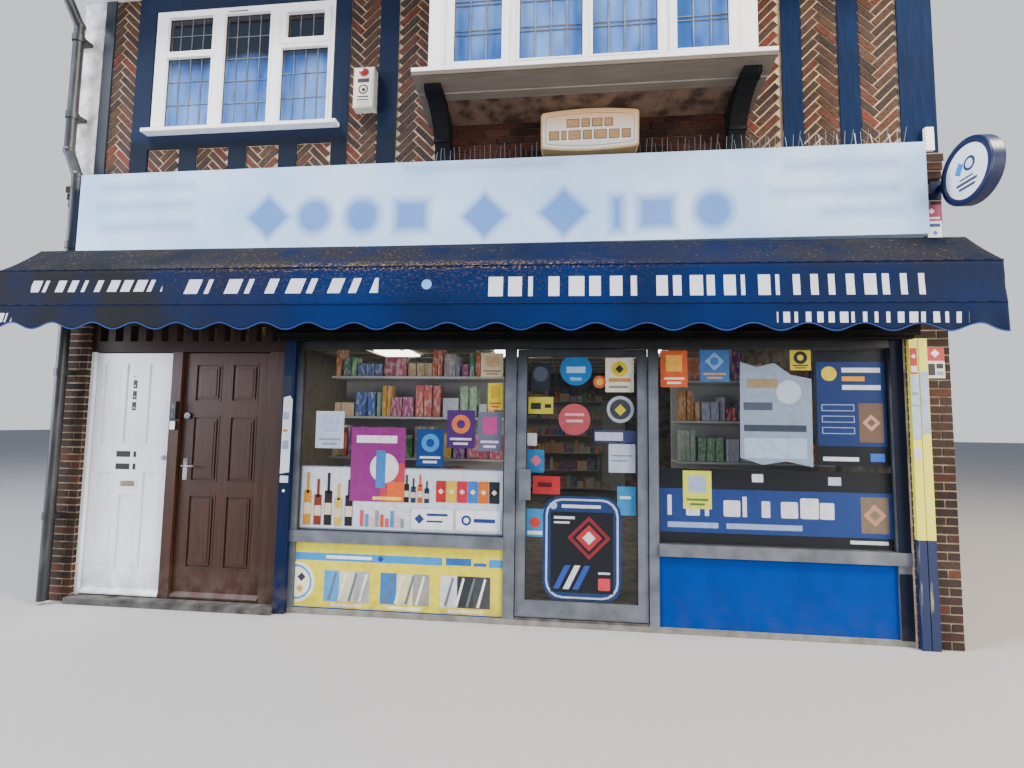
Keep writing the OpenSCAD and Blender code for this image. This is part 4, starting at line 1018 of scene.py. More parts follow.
def cloth_mesh():
    """Slope, face and scalloped valance in one sheet, both ends closed down to the lower bar."""
    bm = bmesh.new()
    dust = bm.verts.layers.float.new("dust")

    def vert(x, y, z, dirt):
        v = bm.verts.new(leaned(x, y, z))
        v[dust] = dirt
        return v
    rows = [("slope", 0.0)] + [(part, i / STEPS) for part in ("slope", "face", "valance")
                               for i in range(1, STEPS + 1)]
    grid = [[vert(column(c), *hang(part, column(c), t)) for c in range(COLUMNS + 1)] for part, t in rows]
    for a, b in zip(grid, grid[1:]):
        for c in range(COLUMNS):
            bm.faces.new((a[c], b[c], b[c + 1], a[c + 1]))
    for side, c in ((-1, 0), (1, COLUMNS)):
        previous = [row[c] for row in grid[:STEPS + 1]]
        for k in range(1, STEPS + 1):
            t = k / STEPS
            line = []
            for j in range(STEPS):
                u = j / STEPS
                y, top = part_way(BACK, BROW, u)
                z = top + (BAR[1] - 0.03 * math.sin(math.pi * u) - top) * t
                fold = 0.006 * math.sin(u * 14 + t * 3) if side == 1 else 0.003 * math.sin(u * 9)
                line.append(vert(side * (CANOPY_HALF - 0.001 - abs(fold * t)), y, z, 0.3))
            line.append(grid[STEPS + k][c])
            for j in range(STEPS):
                quad = (previous[j], previous[j + 1], line[j + 1], line[j])
                bm.faces.new(quad if side == 1 else quad[::-1])
            previous = line
    bmesh.ops.recalc_face_normals(bm, faces=bm.faces)
    if sum(f.normal.y for f in bm.faces) > 0:
        bmesh.ops.reverse_faces(bm, faces=bm.faces)
    for f in bm.faces:
        f.smooth = True
    return bm


def canopy():
    """The cloth, the cords along its two folds and the binding of its hem."""
    cloth = piece("canopy_cloth", cloth_mesh(), "canopy_cloth")
    solid = cloth.modifiers.new("cloth_thickness", "SOLIDIFY")
    solid.thickness = 0.0016
    solid.offset = -1
    bake_modifiers(cloth)
    # An end is a triangle under the slope and a strip behind the face
    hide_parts("canopy_fabric")
    piping = bmesh.new()
    lengths = 60
    for y, z, r in ((-4.501, 2.646, 0.004), (-4.5165, 2.371, 0.0035)):
        for i in range(lengths):
            add_tube(piping, *(leaned(column(c, lengths), y, z) for c in (i, i + 1)), r, 8)
    piece("canopy_piping", piping, "seam_cord")
    hem = bmesh.new()
    last = None
    for c in range(COLUMNS + 1):
        x = column(c)
        y, z, _ = hang("valance", x, 1)
        ring = [hem.verts.new(leaned(x, y + dy, z + dz)) for dy, dz in
                ((-0.002, 0.008), (-0.0025, 0.0), (0.0, -0.002), (0.003, 0.0), (0.0025, 0.008))]
        if last:
            for k in range(5):
                j = (k + 1) % 5
                hem.faces.new((last[k], ring[k], ring[j], last[j]))
        else:
            hem.faces.new(ring)
        last = ring
    hem.faces.new(last[::-1])
    bmesh.ops.recalc_face_normals(hem, faces=hem.faces)
    piece("canopy_hem", hem, "piping")


# Signs and printed shapes

def blot(tree, x, z, cx, cz, hx, hz, soft, kind="box"):
    """A soft-edged box, disc or diamond on the X and Z of a face: 1 inside it, 0 outside."""
    dx = add(tree, "ShaderNodeMath", {0: x, 1: cx}, operation="SUBTRACT")
    dz = add(tree, "ShaderNodeMath", {0: z, 1: cz}, operation="SUBTRACT")
    if kind == "disc":
        flat = add(tree, "ShaderNodeCombineXYZ", {0: dx, 1: dz})
        far = add(tree, "ShaderNodeVectorMath", {0: flat}, out=1, operation="LENGTH")
    else:
        dx = add(tree, "ShaderNodeMath", {0: dx}, operation="ABSOLUTE")
        dz = add(tree, "ShaderNodeMath", {0: dz}, operation="ABSOLUTE")
    if kind == "diamond":
        far = add(tree, "ShaderNodeMath", {0: dx, 1: dz}, operation="ADD")
    if kind == "box":
        dx = add(tree, "ShaderNodeMath", {0: dx, 1: hx}, operation="SUBTRACT")
        dz = add(tree, "ShaderNodeMath", {0: dz, 1: hz}, operation="SUBTRACT")
        far = add(tree, "ShaderNodeMath", {0: dx, 1: dz}, operation="MAXIMUM")
    else:
        far = add(tree, "ShaderNodeMath", {0: far, 1: hx}, operation="SUBTRACT")
    return fade(tree, far, soft, -soft)


def fascia_acrylic():
    """Opal acrylic box sign, printed with soft plain shapes and greyed by rain."""
    soft = 0.045
    bars = [
        (-2.66, 3.46, 0.42, 0.03), (-2.68, 3.30, 0.42, 0.03), (-2.66, 3.12, 0.42, 0.03),
        (0.16, 3.53, 0.61, 0.02), (2.80, 3.44, 0.39, 0.03), (2.74, 3.25, 0.44, 0.03),
        (2.93, 3.09, 0.28, 0.03)]
    shapes = [
        (-1.58, 3.17, 0.19, 0, "diamond"), (-1.19, 3.17, 0.15, 0, "disc"), (-0.79, 3.16, 0.15, 0, "disc"),
        (-0.39, 3.15, 0.14, 0.13, "box"), (0.19, 3.13, 0.19, 0, "diamond"), (0.80, 3.14, 0.2, 0, "diamond"),
        (1.20, 3.12, 0.05, 0.14, "box"), (1.49, 3.12, 0.14, 0.13, "box"), (1.90, 3.13, 0.15, 0, "disc")]

    def colour(tree):
        x, z = coordinate(tree, 0), coordinate(tree, 2)
        base = patches(tree, ((0.35, "#a2caf5"), (0.7, "#c9e1fa")), 0.6)
        for prints, strength, ink in ((bars, 0.8, "#8ea8d0"), (shapes, 0.85, "#4479c4")):
            for cx, cz, hx, hz, *kind in prints:
                mask = blot(tree, x, z, cx, cz, hx, hz, soft, *kind)
                base = coats(tree, base, (where_all(tree, mask, strength), ink))
        runs = patches(tree, ((0.55, BLACK), (0.85, "#9a9a9a")), 0.13, (1, 1, 7), 5)
        stain = where_all(tree, runs, fade(tree, z, 3.3, 3.62))
        return coats(tree, base, (stain, "#9c968f"))
    material("fascia_acrylic", 0.28, colour, (0.004, 0.9, EVEN, 1), Specular_IOR_Level=0.35)


def print_row(tree, x, z, x0, x1, z0, z1, pitch, slant):
    """A row of slanted plain bars of uneven width between x0 and x1: 1 on them, 0 off them."""
    lean_in = where_all(tree, z, slant)
    u = add(tree, "ShaderNodeMath", {0: x, 1: lean_in}, operation="SUBTRACT")
    u = where_all(tree, u, 1 / pitch)
    cell = add(tree, "ShaderNodeMath", {0: u}, operation="FLOOR")
    part = add(tree, "ShaderNodeMath", {0: u}, operation="FRACT")
    width = add(tree, "ShaderNodeTexWhiteNoise", {"W": cell}, noise_dimensions="1D")
    width = add(tree, "ShaderNodeMapRange", {0: width, 1: 0.0, 2: 1.0, 3: 0.22, 4: 0.8})
    on = add(tree, "ShaderNodeMath", {0: part, 1: width}, operation="LESS_THAN")
    box = blot(tree, x, z, (x0 + x1) / 2, (z0 + z1) / 2, (x1 - x0) / 2, (z1 - z0) / 2, 0.002)
    return where_all(tree, on, box)


def canopy_canvas():
    """Acrylic-coated canvas: navy, with road dust on its slope, soot on its face and rows of
    plain printed bars. Its weave is drawn at 1.5 mm, coarser than it is, so that it shows."""
    # Each row: x0, x1, z0, z1, pitch and slant
    rows = ((-3.30, -2.2, 2.47, 2.56, 0.11, 0.35), (-2.1, -0.52, 2.45, 2.56, 0.16, 0.35),
            (0.19, 1.30, 2.42, 2.56, 0.14, 0.0), (1.40, 3.16, 2.42, 2.56, 0.11, 0.0),
            (2.20, 3.36, 2.235, 2.305, 0.07, 0.0), (-3.56, -3.44, 2.235, 2.305, 0.055, 0.35))

    def grey(v):
        return (v, v, v, 1)

    def colour(tree):
        x, z = coordinate(tree, 0), coordinate(tree, 2)
        level = add(tree, "ShaderNodeMath", {0: z, 1: where_all(tree, x, math.tan(LEAN))}, operation="ADD")
        base = patches(tree, ((0.35, "#092455"), (0.7, "#0b1c3f")), 0.7, (1, 1, 2), 6, 3.0)
        patch = patches(tree, ((0.3, "#a4a4a4"), (0.55, WHITE)), 0.4, EVEN, 7, 1.0)
        sooty = where_all(tree, fade(tree, x, -1.0, -2.4), patch)
        dusty = where_all(tree, fade(tree, x, 2.0, 3.2), patch)
        base = coats(tree, base, (sooty, "#212225"), (dusty, "#17223a"))
        slope = fade(tree, level, 2.64, 2.655)
        base = coats(tree, base, (slope, coats(tree, base, (0.45, "#05070b"))))
        for row in rows:
            worn = where_all(tree, print_row(tree, x, level, *row), 0.85)
            base = coats(tree, base, (worn, "#dfe4ec"))
        dot = blot(tree, x, level, -0.165, 2.51, 0.036, 0, 0.003, "disc")
        dust = add(tree, "ShaderNodeAttribute", out="Fac", attribute_name="dust")
        grit = patches(tree, ((0.36, "#6b6b6b"), (0.55, "#f0f0f0")), 0.3, EVEN, 8)
        # Dust lies thick on the left, thin in the middle and thicker again on the right
        worst = coats(tree, grey(0.4), (fade(tree, x, 0.7, -0.5), grey(1)),
                      (fade(tree, x, 1.4, 2.6), grey(0.85)))
        flecks = patches(tree, ((0.35, "#1d1d20"), (0.64, "#2b2927"), (0.78, "#8f7d60")), 0.02, EVEN, 4)
        base = coats(tree, base, (dot, "#6aa7e0"), (where_all(tree, dust, grit, worst), flecks))
        specks = patches(tree, ((0.54, BLACK), (0.64, WHITE)), 0.011, (2, 1, 1), 5)
        near = [fade(tree, place, start, end) for place, start, end in (
            (level, 2.72, 2.65), (x, -2.6, -1.2), (x, 1.7, 0.3))]
        return coats(tree, base, (where_all(tree, specks, *near, dust), "#a68a57"))
    material("canopy_cloth", 0.8, colour, (0.0004, 0.0015, EVEN, 1), Specular_IOR_Level=0.05)


def printed_card():
    """Printed card and vinyl: each face has a plain ink of its own."""
    def colour(tree):
        ink = add(tree, "ShaderNodeAttribute", out="Color", attribute_name="ink")
        faded = patches(tree, ((0.3, "#c9c9c9"), (0.6, WHITE)), 0.05, detail=4)
        return splashed(tree, coats(tree, ink, (0.4, faded, "MULTIPLY")), "#5a5244", 0.3)
    material("printed_card", 0.45, colour, (0.0003, 0.03, EVEN, 1), Specular_IOR_Level=0.25)


def window_pane():
    """Float glass: nearly clear, it mirrors the pale sky and has a slight roller wave."""
    material("shop_pane", 0.03, "#2a333c", (0.002, 0.35, EVEN, 1), IOR=1.5, Alpha=0.07,
             Specular_IOR_Level=0.7)


def upper_pane():
    """Float glass of the upper windows, with a painted reflection in its colour: blue sky low down and the
    dark eaves above.
    """
    def colour(tree):
        y, z = coordinate(tree, 1), coordinate(tree, 2)
        wave = where_all(tree, spots(tree, 0.5, detail=2), 0.3)
        # The painted reflection of the eaves starts 0.3 m higher on the bay's panes than on the left
        # window's
        drop = where_all(tree, fade(tree, y, -4.2, -4.3), -0.3)
        for shift in (drop, wave):
            z = add(tree, "ShaderNodeMath", {0: z, 1: shift}, operation="ADD")
        sky = patches(tree, ((0.35, "#2c5aa6"), (0.65, "#6f99d6")), 0.25, (1, 1, 3), 4)
        # The rear windows get a painted reflection of a plain grey sky
        return coats(tree, sky, (fade(tree, z, 4.74, 4.92), "#1e1f22"),
                     (fade(tree, y, 0.0, 1.0), "#3c4854"))
    material("upper_pane", 0.05, colour, (0.002, 0.35, EVEN, 1), Alpha=0.86, Specular_IOR_Level=0.6)


def pilaster_paint():
    """Gloss paint on boards: yellow above, navy below a line at the height of a child's shoulder."""
    def colour(tree):
        worn = patches(tree, ((0.62, BLACK), (0.72, WHITE)), 0.05, (1, 1, 8), 5)
        above = add(tree, "ShaderNodeMath", {0: coordinate(tree, 2), 1: 0.753}, operation="GREATER_THAN")
        return coats(tree, "#14244a", (above, "#e3df52"), (worn, "#8a8a6a"))
    material("pilaster_paint", 0.35, colour, (0.0006, 0.02, (1, 1, 8)))


def licence_acrylic():
    """Cream acrylic of the small box sign, tanned by age towards its top."""
    def colour(tree):
        return coats(tree, "#dedbd4", (fade(tree, 2, 3.80, 3.99), "#cfa26c"))
    material("licence_acrylic", 0.3, colour, (0.001, 0.3, EVEN, 1), Coat_Weight=0.2)


def packets():
    """Printed packets, tins and bottles: card and film with a plain ink each."""
    def colour(tree):
        base = toned(tree, [
            (0.0, "#c22a20"), (0.13, "#e6c02a"), (0.26, "#2562b8"), (0.4, "#e6e2d4"), (0.54, "#2f9a46"),
            (0.68, "#8a3a9a"), (0.82, "#e0701f"), (1.0, "#f0d6b0")])
        prints = patches(tree, ((0.52, BLACK), (0.56, "#b0b0b0")), 0.035, (0.6, 1, 1.6), 1)
        return coats(tree, base, (prints, "#efe9da"))
    material("packets", 0.4, colour)


def light_diffuser():
    """Opal diffuser of a fluorescent panel, lit."""
    material("light_diffuser", 0.4, "#f4f4ee", Emission_Color="#fff6e0", Emission_Strength=7.0)


# Outer faces of the two timber doors, and of the shop's glazing frames
LEAF = -3.94
FRAME = -3.9795
# How far each printed layer stands before the one behind it, and its thickness
LAYER, PRINT_THICK = 0.0008, 0.0007


def cards(name, y, rows, body="building"):
    """Thin printed plates in one mesh. A row is a kind, its layer counted from y towards the
    street, a colour, and its numbers: x0, x1, z0, z1 for a box or rounded card, and x, z, r for
    a disc or diamond."""
    shapes = {"box": rect, "card": lambda *n: rounded(*n, 0.3 * min(n[1] - n[0], n[3] - n[2]) ** 1.5),
              "disc": disc, "diamond": diamond, "shape": lambda *n: list(n)}
    bm = bmesh.new()
    ink = bm.loops.layers.float_color.new("ink")
    for kind, layer, colour, *numbers in rows:
        for face in add_plate(bm, shapes[kind](*numbers), y - LAYER * layer, PRINT_THICK):
            for loop in face.loops:
                loop[ink] = linear(colour)
    return piece(name, bm, "printed_card", body)


def poster(x0, x1, z0, z1, ground, first, second, kind="disc", lift=0):
    """Rows for one poster: its card, a plain shape in one ink and two bars in another."""
    w, h = x1 - x0, z1 - z0
    cx, cz = (x0 + x1) / 2, z0 + 0.63 * h
    r = 0.33 * min(w, h)
    rows = [("box", 0, ground, x0, x1, z0, z1)]
    if kind == "box":
        rows.append(("box", 1, first, cx - 0.3 * w, cx + 0.3 * w, cz - 0.2 * h, cz + 0.25 * h))
    else:
        rows.append((kind, 1, first, cx, cz, r))
        rows.append(("disc", 2, ground, cx, cz, r * 0.45))
    for v, half in ((0.24, 0.38), (0.12, 0.26)):
        z = z0 + v * h
        rows.append(("box", 1, second, cx - half * w, cx + half * w, z - 0.03 * h, z + 0.03 * h))
    return [(name, layer + lift, *rest) for name, layer, *rest in rows]


def bottles(x, z, step, tall, colours):
    """Rows for a line of bottles: a body and a neck each, with a pale label."""
    rows = []
    for i, colour in enumerate(colours):
        cx = x + i * step
        w = step * 0.36
        h = tall * (1 - 0.12 * (i % 3 == 1) - 0.2 * (i % 4 == 3))
        rows += [("card", 2, colour, cx - w, cx + w, z, z + 0.66 * h),
                 ("box", 2, colour, cx - w * 0.35, cx + w * 0.35, z + 0.6 * h, z + h),
                 ("box", 3, "#d8cdb0", cx - w * 0.9, cx + w * 0.9, z + 0.2 * h, z + 0.42 * h)]
    return rows


def small_posters():
    """Rows for the ten small posters behind the two shop windows."""
    rows = []
    for x0, x1, z0, z1, ground, first, second, kind in (
            (-0.367, -0.146, 1.18, 1.478, "#123f86", "#3f95dd", "#e8eef5", "disc"),
            (-0.124, 0.105, 1.33, 1.634, "#4a2470", "#e07a3c", "#e9ddf2", "disc"),
            (0.129, 0.320, 1.31, 1.621, "#6a6f86", "#c04a8c", "#eadff0", "box"),
            (-1.227, -0.985, 1.31, 1.613, "#cfdcf0", "#b9cbe6", "#8d9db8", "box"),
            (0.144, 0.325, 1.905, 2.096, "#cdbb9c", "#b39a72", "#7c6a50", "box"),
            (0.205, 0.325, 1.64, 1.854, "#e3cb25", "#c9a51c", "#b8402c", "box"),
            (1.556, 1.76, 1.83, 2.115, "#d9622a", "#f0b24a", "#f5ead9", "box"),
            (1.853, 2.071, 1.875, 2.125, "#3f6fae", "#7fa6d6", "#c8a055", "diamond"),
            (2.515, 2.665, 1.965, 2.118, "#e5d53a", "#33342c", "#33342c", "disc"),
            (1.715, 1.925, 0.91, 1.195, "#d6dc4a", "#9fb4d8", "#4f7a3a", "box")):
        rows += poster(x0, x1, z0, z1, ground, first, second, kind, 2 if z0 < 1.0 else 0)
    return rows


def counter_panel():
    """Rows for the left window's large poster and the wide panel of drawn goods under it."""
    rows = [("box", 4, "#8a2a7a", -0.915, -0.46, 0.89, 1.485),
            ("box", 5, "#c23a4a", -0.66, -0.46, 0.89, 1.2),
            ("box", 6, "#e0642c", -0.60, -0.46, 0.89, 1.05),
            ("disc", 7, "#e8e4ee", -0.63, 1.16, 0.12),
            ("card", 8, "#3a7ec4", -0.70, -0.62, 1.0, 1.30),
            ("box", 6, "#f2eef4", -0.87, -0.53, 1.36, 1.42),
            ("box", 7, "#f2d84a", -0.72, -0.48, 0.905, 0.93)]
    rows += [("box", -3, "#7d8da6", -1.338, 0.345, 0.655, 1.165),
             ("box", -2, "#dfe9f4", -1.325, 0.335, 0.668, 1.155)]
    rows += bottles(-1.27, 0.69, 0.088, 0.42, ("#c98a1c", "#7a2f14", "#241a16", "#d0b44a", "#1c1c1e"))
    rows += bottles(-0.44, 0.89, 0.055, 0.22, ("#1b1b22", "#26324c", "#c2561f", "#1d2a4a"))
    for i, colour in enumerate(("#b3262a", "#e0b524", "#c21f3f", "#2f74c2", "#d2691e", "#20222a")):
        rows += [("card", 2, colour, -0.20 + i * 0.086, -0.12 + i * 0.086, 0.90, 1.07),
                 ("diamond", 3, "#f0e2c0", -0.16 + i * 0.086, 0.985, 0.022)]
    for i in range(9):
        colour = ("#d0465a", "#3f8ac8", "#e8b0b8", "#8a9098", "#c8502c")[i % 5]
        x = -0.82 + i * 0.042
        rows.append(("box", 2, colour, x, x + 0.028, 0.69, 0.82 - 0.03 * (i % 3)))
    rows += [("box", 2, "#b7c6dc", -0.40, -0.05, 0.68, 0.85),
             ("box", 3, "#eef3f9", -0.394, -0.056, 0.686, 0.844),
             ("diamond", 4, "#26407c", -0.33, 0.765, 0.04),
             ("box", 4, "#26407c", -0.27, -0.10, 0.79, 0.81),
             ("box", 4, "#26407c", -0.27, -0.14, 0.74, 0.755),
             ("box", 2, "#b7c6dc", -0.04, 0.325, 0.68, 0.85),
             ("box", 3, "#eef3f9", -0.034, 0.319, 0.686, 0.844),
             ("disc", 4, "#1d3a80", 0.05, 0.765, 0.04),
             ("disc", 5, "#eef3f9", 0.05, 0.765, 0.022), ("box", 4, "#1d3a80", 0.11, 0.28, 0.75, 0.78)]
    return rows


def service_prints():
    """Rows for the right window's torn sheet, its tall blue card and the band along its foot."""
    torn = [(2.14, 1.30), (2.30, 1.25), (2.47, 1.28), (2.66, 1.24), (2.665, 1.9), (2.52, 1.93),
            (2.40, 2.02), (2.27, 1.99), (2.15, 2.03)]
    rows = [("shape", 0, "#9db0c6", *torn), ("box", 1, "#4f5b6c", 2.17, 2.38, 1.66, 1.72),
            ("box", 1, "#3f4a5a", 2.17, 2.62, 1.50, 1.55),
            ("box", 1, "#b9d2ea", 2.17, 2.62, 1.30, 1.45),
            ("disc", 1, "#c9dcec", 2.5, 1.8, 0.09), ("box", 1, "#a58d6a", 2.2, 2.42, 1.83, 1.9)]
    rows += [("box", 0, "#0f1116", 2.681, 3.197, 1.256, 2.118),
             ("box", 1, "#17346f", 2.70, 3.18, 1.40, 2.03),
             ("box", 2, "#6d5546", 2.99, 3.16, 1.43, 1.72),
             ("diamond", 3, "#c79a7c", 3.075, 1.575, 0.062),
             ("diamond", 4, "#6d5546", 3.075, 1.575, 0.03), ("disc", 2, "#e6cf2f", 2.79, 1.94, 0.055)]
    for i, (x1, colour) in enumerate(((3.15, "#e6ebf4"), (3.04, "#e0a02e"), (3.15, "#e6ebf4"))):
        rows.append(("box", 2, colour, 2.88, x1, 1.95 - i * 0.065, 1.985 - i * 0.065))
    for i in range(3):
        z = 1.66 - i * 0.085
        rows += [("card", 2, "#9fb3dc", 2.73, 2.96, z, z + 0.05),
                 ("card", 3, "#17346f", 2.736, 2.954, z + 0.006, z + 0.044)]
    rows += [("box", 2, "#dfe5ee", 2.73, 2.98, 1.29, 1.32),
             ("box", 2, "#2a62c4", 3.06, 3.16, 1.29, 1.35)]
    rows += [("box", -2, "#0e1015", 1.541, 3.197, 0.656, 1.21),
             ("box", -1, "#183b80", 1.541, 3.197, 0.735, 1.06),
             ("box", 0, "#7a6a58", 2.98, 3.17, 0.77, 1.03), ("diamond", 1, "#b98d70", 3.075, 0.90, 0.08),
             ("diamond", 2, "#7a6a58", 3.075, 0.90, 0.04),
             ("box", 0, "#dfe5ee", 2.90, 3.16, 0.69, 0.715),
             ("box", 0, "#e8edf5", 2.22, 2.30, 1.12, 1.18),
             ("card", 0, "#9fb3dc", 1.60, 1.97, 0.77, 0.81),
             ("card", 0, "#9fb3dc", 2.03, 2.57, 0.77, 0.81),
             ("box", 0, "#c8d4ec", 2.76, 2.85, 1.11, 1.17)]
    words = ((0.03, 0.15), (0.10, 0.12), (0.03, 0.15), (0.12, 0.12), (0.03, 0.15), (0.06, 0.12),
             (0.12, 0.12), (0.13, 0.15), (0.10, 0.12))
    for i, (w, tall) in enumerate(words):
        x = 1.60 + i * 0.137
        rows.append(("card", 0, "#e9eef8", x, x + w, 0.86, 0.86 + tall))
    return rows


def window_posters():
    """Cards behind the two shop windows, placed as the photograph shows them."""
    rows = small_posters() + counter_panel() + service_prints()
    cards("window_posters", -3.9445, rows)


def door_posters():
    """Cards and discs on the glass of the shop door."""
    rows = [
        ("disc", 0, "#1f6fb5", 0.905, 1.965, 0.125), ("box", 1, "#9fd0ee", 0.83, 0.98, 1.94, 1.99),
        ("box", 1, "#7ab8de", 0.86, 0.95, 1.88, 1.905), ("box", 0, "#e8e2cc", 1.135, 1.355, 1.79, 2.06),
        ("disc", 1, "#d9c41f", 1.245, 1.972, 0.062), ("diamond", 2, "#2b2b28", 1.245, 1.972, 0.034),
        ("box", 1, "#c98a52", 1.16, 1.33, 1.87, 1.90), ("box", 1, "#8d8a80", 1.16, 1.31, 1.82, 1.84),
        ("disc", 1, "#c9572c", 1.09, 1.87, 0.05), ("disc", 2, "#e0b24a", 1.09, 1.87, 0.028),
        ("box", 0, "#1f201c", 0.522, 0.735, 1.605, 1.755),
        ("box", 1, "#c9c132", 0.53, 0.727, 1.613, 1.747),
        ("box", 2, "#2b2c22", 0.55, 0.63, 1.65, 1.70), ("box", 2, "#2b2c22", 0.66, 0.71, 1.66, 1.69),
        ("disc", 0, "#b8505a", 0.895, 1.572, 0.125), ("box", 1, "#e0b6b8", 0.82, 0.97, 1.60, 1.62),
        ("box", 1, "#e0b6b8", 0.83, 0.96, 1.55, 1.57), ("disc", 0, "#aeb9c4", 1.25, 1.655, 0.105),
        ("disc", 1, "#3a4048", 1.25, 1.655, 0.08), ("diamond", 2, "#d9c41f", 1.25, 1.65, 0.045),
        ("box", 0, "#3b3f70", 1.045, 1.366, 1.395, 1.49),
        ("box", 1, "#c7c9e6", 1.055, 1.27, 1.41, 1.475),
        ("box", 0, "#c6d2e6", 1.16, 1.364, 1.165, 1.385), ("box", 1, "#7b89a5", 1.18, 1.34, 1.29, 1.30),
        ("box", 1, "#7b89a5", 1.18, 1.30, 1.25, 1.26), ("box", 0, "#1f1f24", 0.55, 0.70, 1.79, 2.02),
        ("disc", 1, "#4a5160", 0.625, 1.93, 0.06), ("box", 0, "#d6dde4", 0.525, 0.60, 1.36, 1.46),
        ("box", 0, "#2a76b8", 0.525, 0.66, 1.15, 1.33), ("diamond", 1, "#d86a80", 0.595, 1.245, 0.045),
        ("box", 0, "#c22a30", 0.573, 0.785, 0.985, 1.125),
        ("box", 1, "#5a1418", 0.61, 0.72, 1.04, 1.075),
        ("box", -1, "#2a8cc8", 1.225, 1.366, 0.84, 1.06),
        ("box", 0, "#dbe7f2", 1.245, 1.33, 0.965, 0.985),
        ("box", -1, "#2a8cc8", 0.522, 0.665, 0.655, 0.87), ("disc", 0, "#c8362c", 0.593, 0.765, 0.04),
        ("box", 0, "#e8edf2", 0.535, 0.65, 0.672, 0.70),
        ("card", 0, "#16356f", 0.655, 1.255, 0.175, 0.975),
        ("card", 1, "#c6d3e8", 0.675, 1.235, 0.20, 0.955),
        ("card", 2, "#16356f", 0.69, 1.22, 0.215, 0.94),
        ("box", 3, "#101218", 0.715, 1.195, 0.245, 0.855),
        ("box", 3, "#dfe5f0", 0.80, 1.10, 0.885, 0.91), ("disc", 3, "#b9c9e4", 0.735, 0.90, 0.028)]
    for layer, colour, r in ((4, "#8a2530", 0.165), (5, "#101218", 0.13),
                             (6, "#b8303a", 0.10), (7, "#dfe5f0", 0.05)):
        rows.append(("diamond", layer, colour, 1.01, 0.66, r))
    for i, colour in enumerate(("#2c4fa8", "#dfe5f0", "#2c4fa8")):
        x = 0.735 + i * 0.075
        rows.append(("shape", 4, colour, (x, 0.27), (x + 0.045, 0.27), (x + 0.135, 0.45), (x + 0.09, 0.45)))
    rows += [("box", 4, "#dfe5f0", 0.74, 0.90, 0.80, 0.82),
             ("box", 4, "#dfe5f0", 0.74, 0.86, 0.765, 0.78),
             ("card", 4, "#d8404a", 1.08, 1.17, 0.27, 0.36),
             ("box", 4, "#dfe5f0", 1.08, 1.17, 0.39, 0.405)]
    cards("door_posters", high("shop_door_glass").y + 0.0115, rows, "shop_door")


def post_cards():
    """Paper strips and stickers on the pilaster, the right pier and the blue post."""
    cards("pilaster_cards", low("pilaster").y + 0.0004, [
        ("box", 1, "#b5333c", 3.305, 3.352, 1.93, 2.12), ("box", 2, "#e4e0e0", 3.309, 3.348, 1.945, 1.99),
        ("diamond", 2, "#f0e4e4", 3.328, 2.06, 0.018), ("box", 1, "#a9bcd4", 3.303, 3.358, 1.46, 1.925),
        ("box", 1, "#9db2cc", 3.367, 3.420, 1.50, 1.95), ("box", 2, "#7c8fae", 3.308, 3.35, 1.78, 1.80),
        ("box", 2, "#7c8fae", 3.308, 3.35, 1.70, 1.71), ("box", 1, "#c3cfdd", 3.305, 3.35, 1.32, 1.40)])
    x0, x1 = 3.432, 3.556
    u0, u1 = 3.487, 3.588
    cards("pier_cards", FRONT - 0.0055, [
        ("box", 0, "#b0303c", x0, x1, 2.03, 2.13), ("diamond", 1, "#f0e8e8", 3.494, 2.085, 0.03),
        ("box", 0, "#d6d9de", x0, x1, 1.905, 2.03), ("box", 1, "#2a2c30", 3.444, 3.49, 1.925, 2.01),
        ("box", 1, "#2a2c30", 3.50, 3.545, 1.975, 2.01), ("box", 1, "#8d939c", 3.50, 3.545, 1.925, 1.955),
        ("box", 0, "#8a3a58", u0, u1, 3.075, 3.20), ("diamond", 1, "#e6d6de", 3.52, 3.15, 0.022),
        ("box", 1, "#e6d6de", 3.50, 3.575, 3.09, 3.105), ("box", 0, "#dfe6ee", u0, u1, 2.95, 3.075),
        ("box", 1, "#24407a", 3.50, 3.575, 3.03, 3.055), ("diamond", 1, "#3f7ab8", 3.54, 2.985, 0.02)])
    torn = ((-1.478, 1.10), (-1.40, 1.115), (-1.398, 1.70), (-1.42, 1.735), (-1.474, 1.72))
    cards("post_strip", low("blue_post").y + 0.0004, [
        ("box", 1, "#101a30", -1.479, -1.41, 1.74, 1.90), ("shape", 1, "#cdd5dc", *torn),
        ("box", 2, "#8fa2b8", -1.47, -1.42, 1.54, 1.60), ("box", 2, "#a9703f", -1.468, -1.43, 1.44, 1.46),
        ("box", 2, "#7f93ad", -1.468, -1.415, 1.30, 1.37),
        ("box", 1, "#c9d2da", -1.475, -1.405, 1.03, 1.085),
        ("disc", 1, "#d5dce2", -1.44, 0.965, 0.012)])


def door_plates():
    """Plain black bars where the white door has its number and its plates."""
    black, x = "#0c0d0f", -2.89
    peephole = ("box", 1, "#17181a", x - 0.005, x + 0.005, 1.885, 1.895)
    bars = [("box", 1, black, x0, x1, z, z + 0.05) for z in (1.20, 1.095)
            for x0, x1 in ((-3.015, -2.885), (-2.855, -2.83))]
    cards("door_marks", LEAF + 0.0004, [peephole, *bars], "flat_door")
    rows = []
    for z in (1.60, 1.695, 1.79):
        rows += [("box", 1, black, x - 0.018, x + 0.018, z, z + 0.072),
                 ("box", 2, "#e3eaf0", x - 0.005, x + 0.005, z + 0.014, z + 0.03)]
    cards("door_number", LEAF + 0.0084, rows, "flat_door")


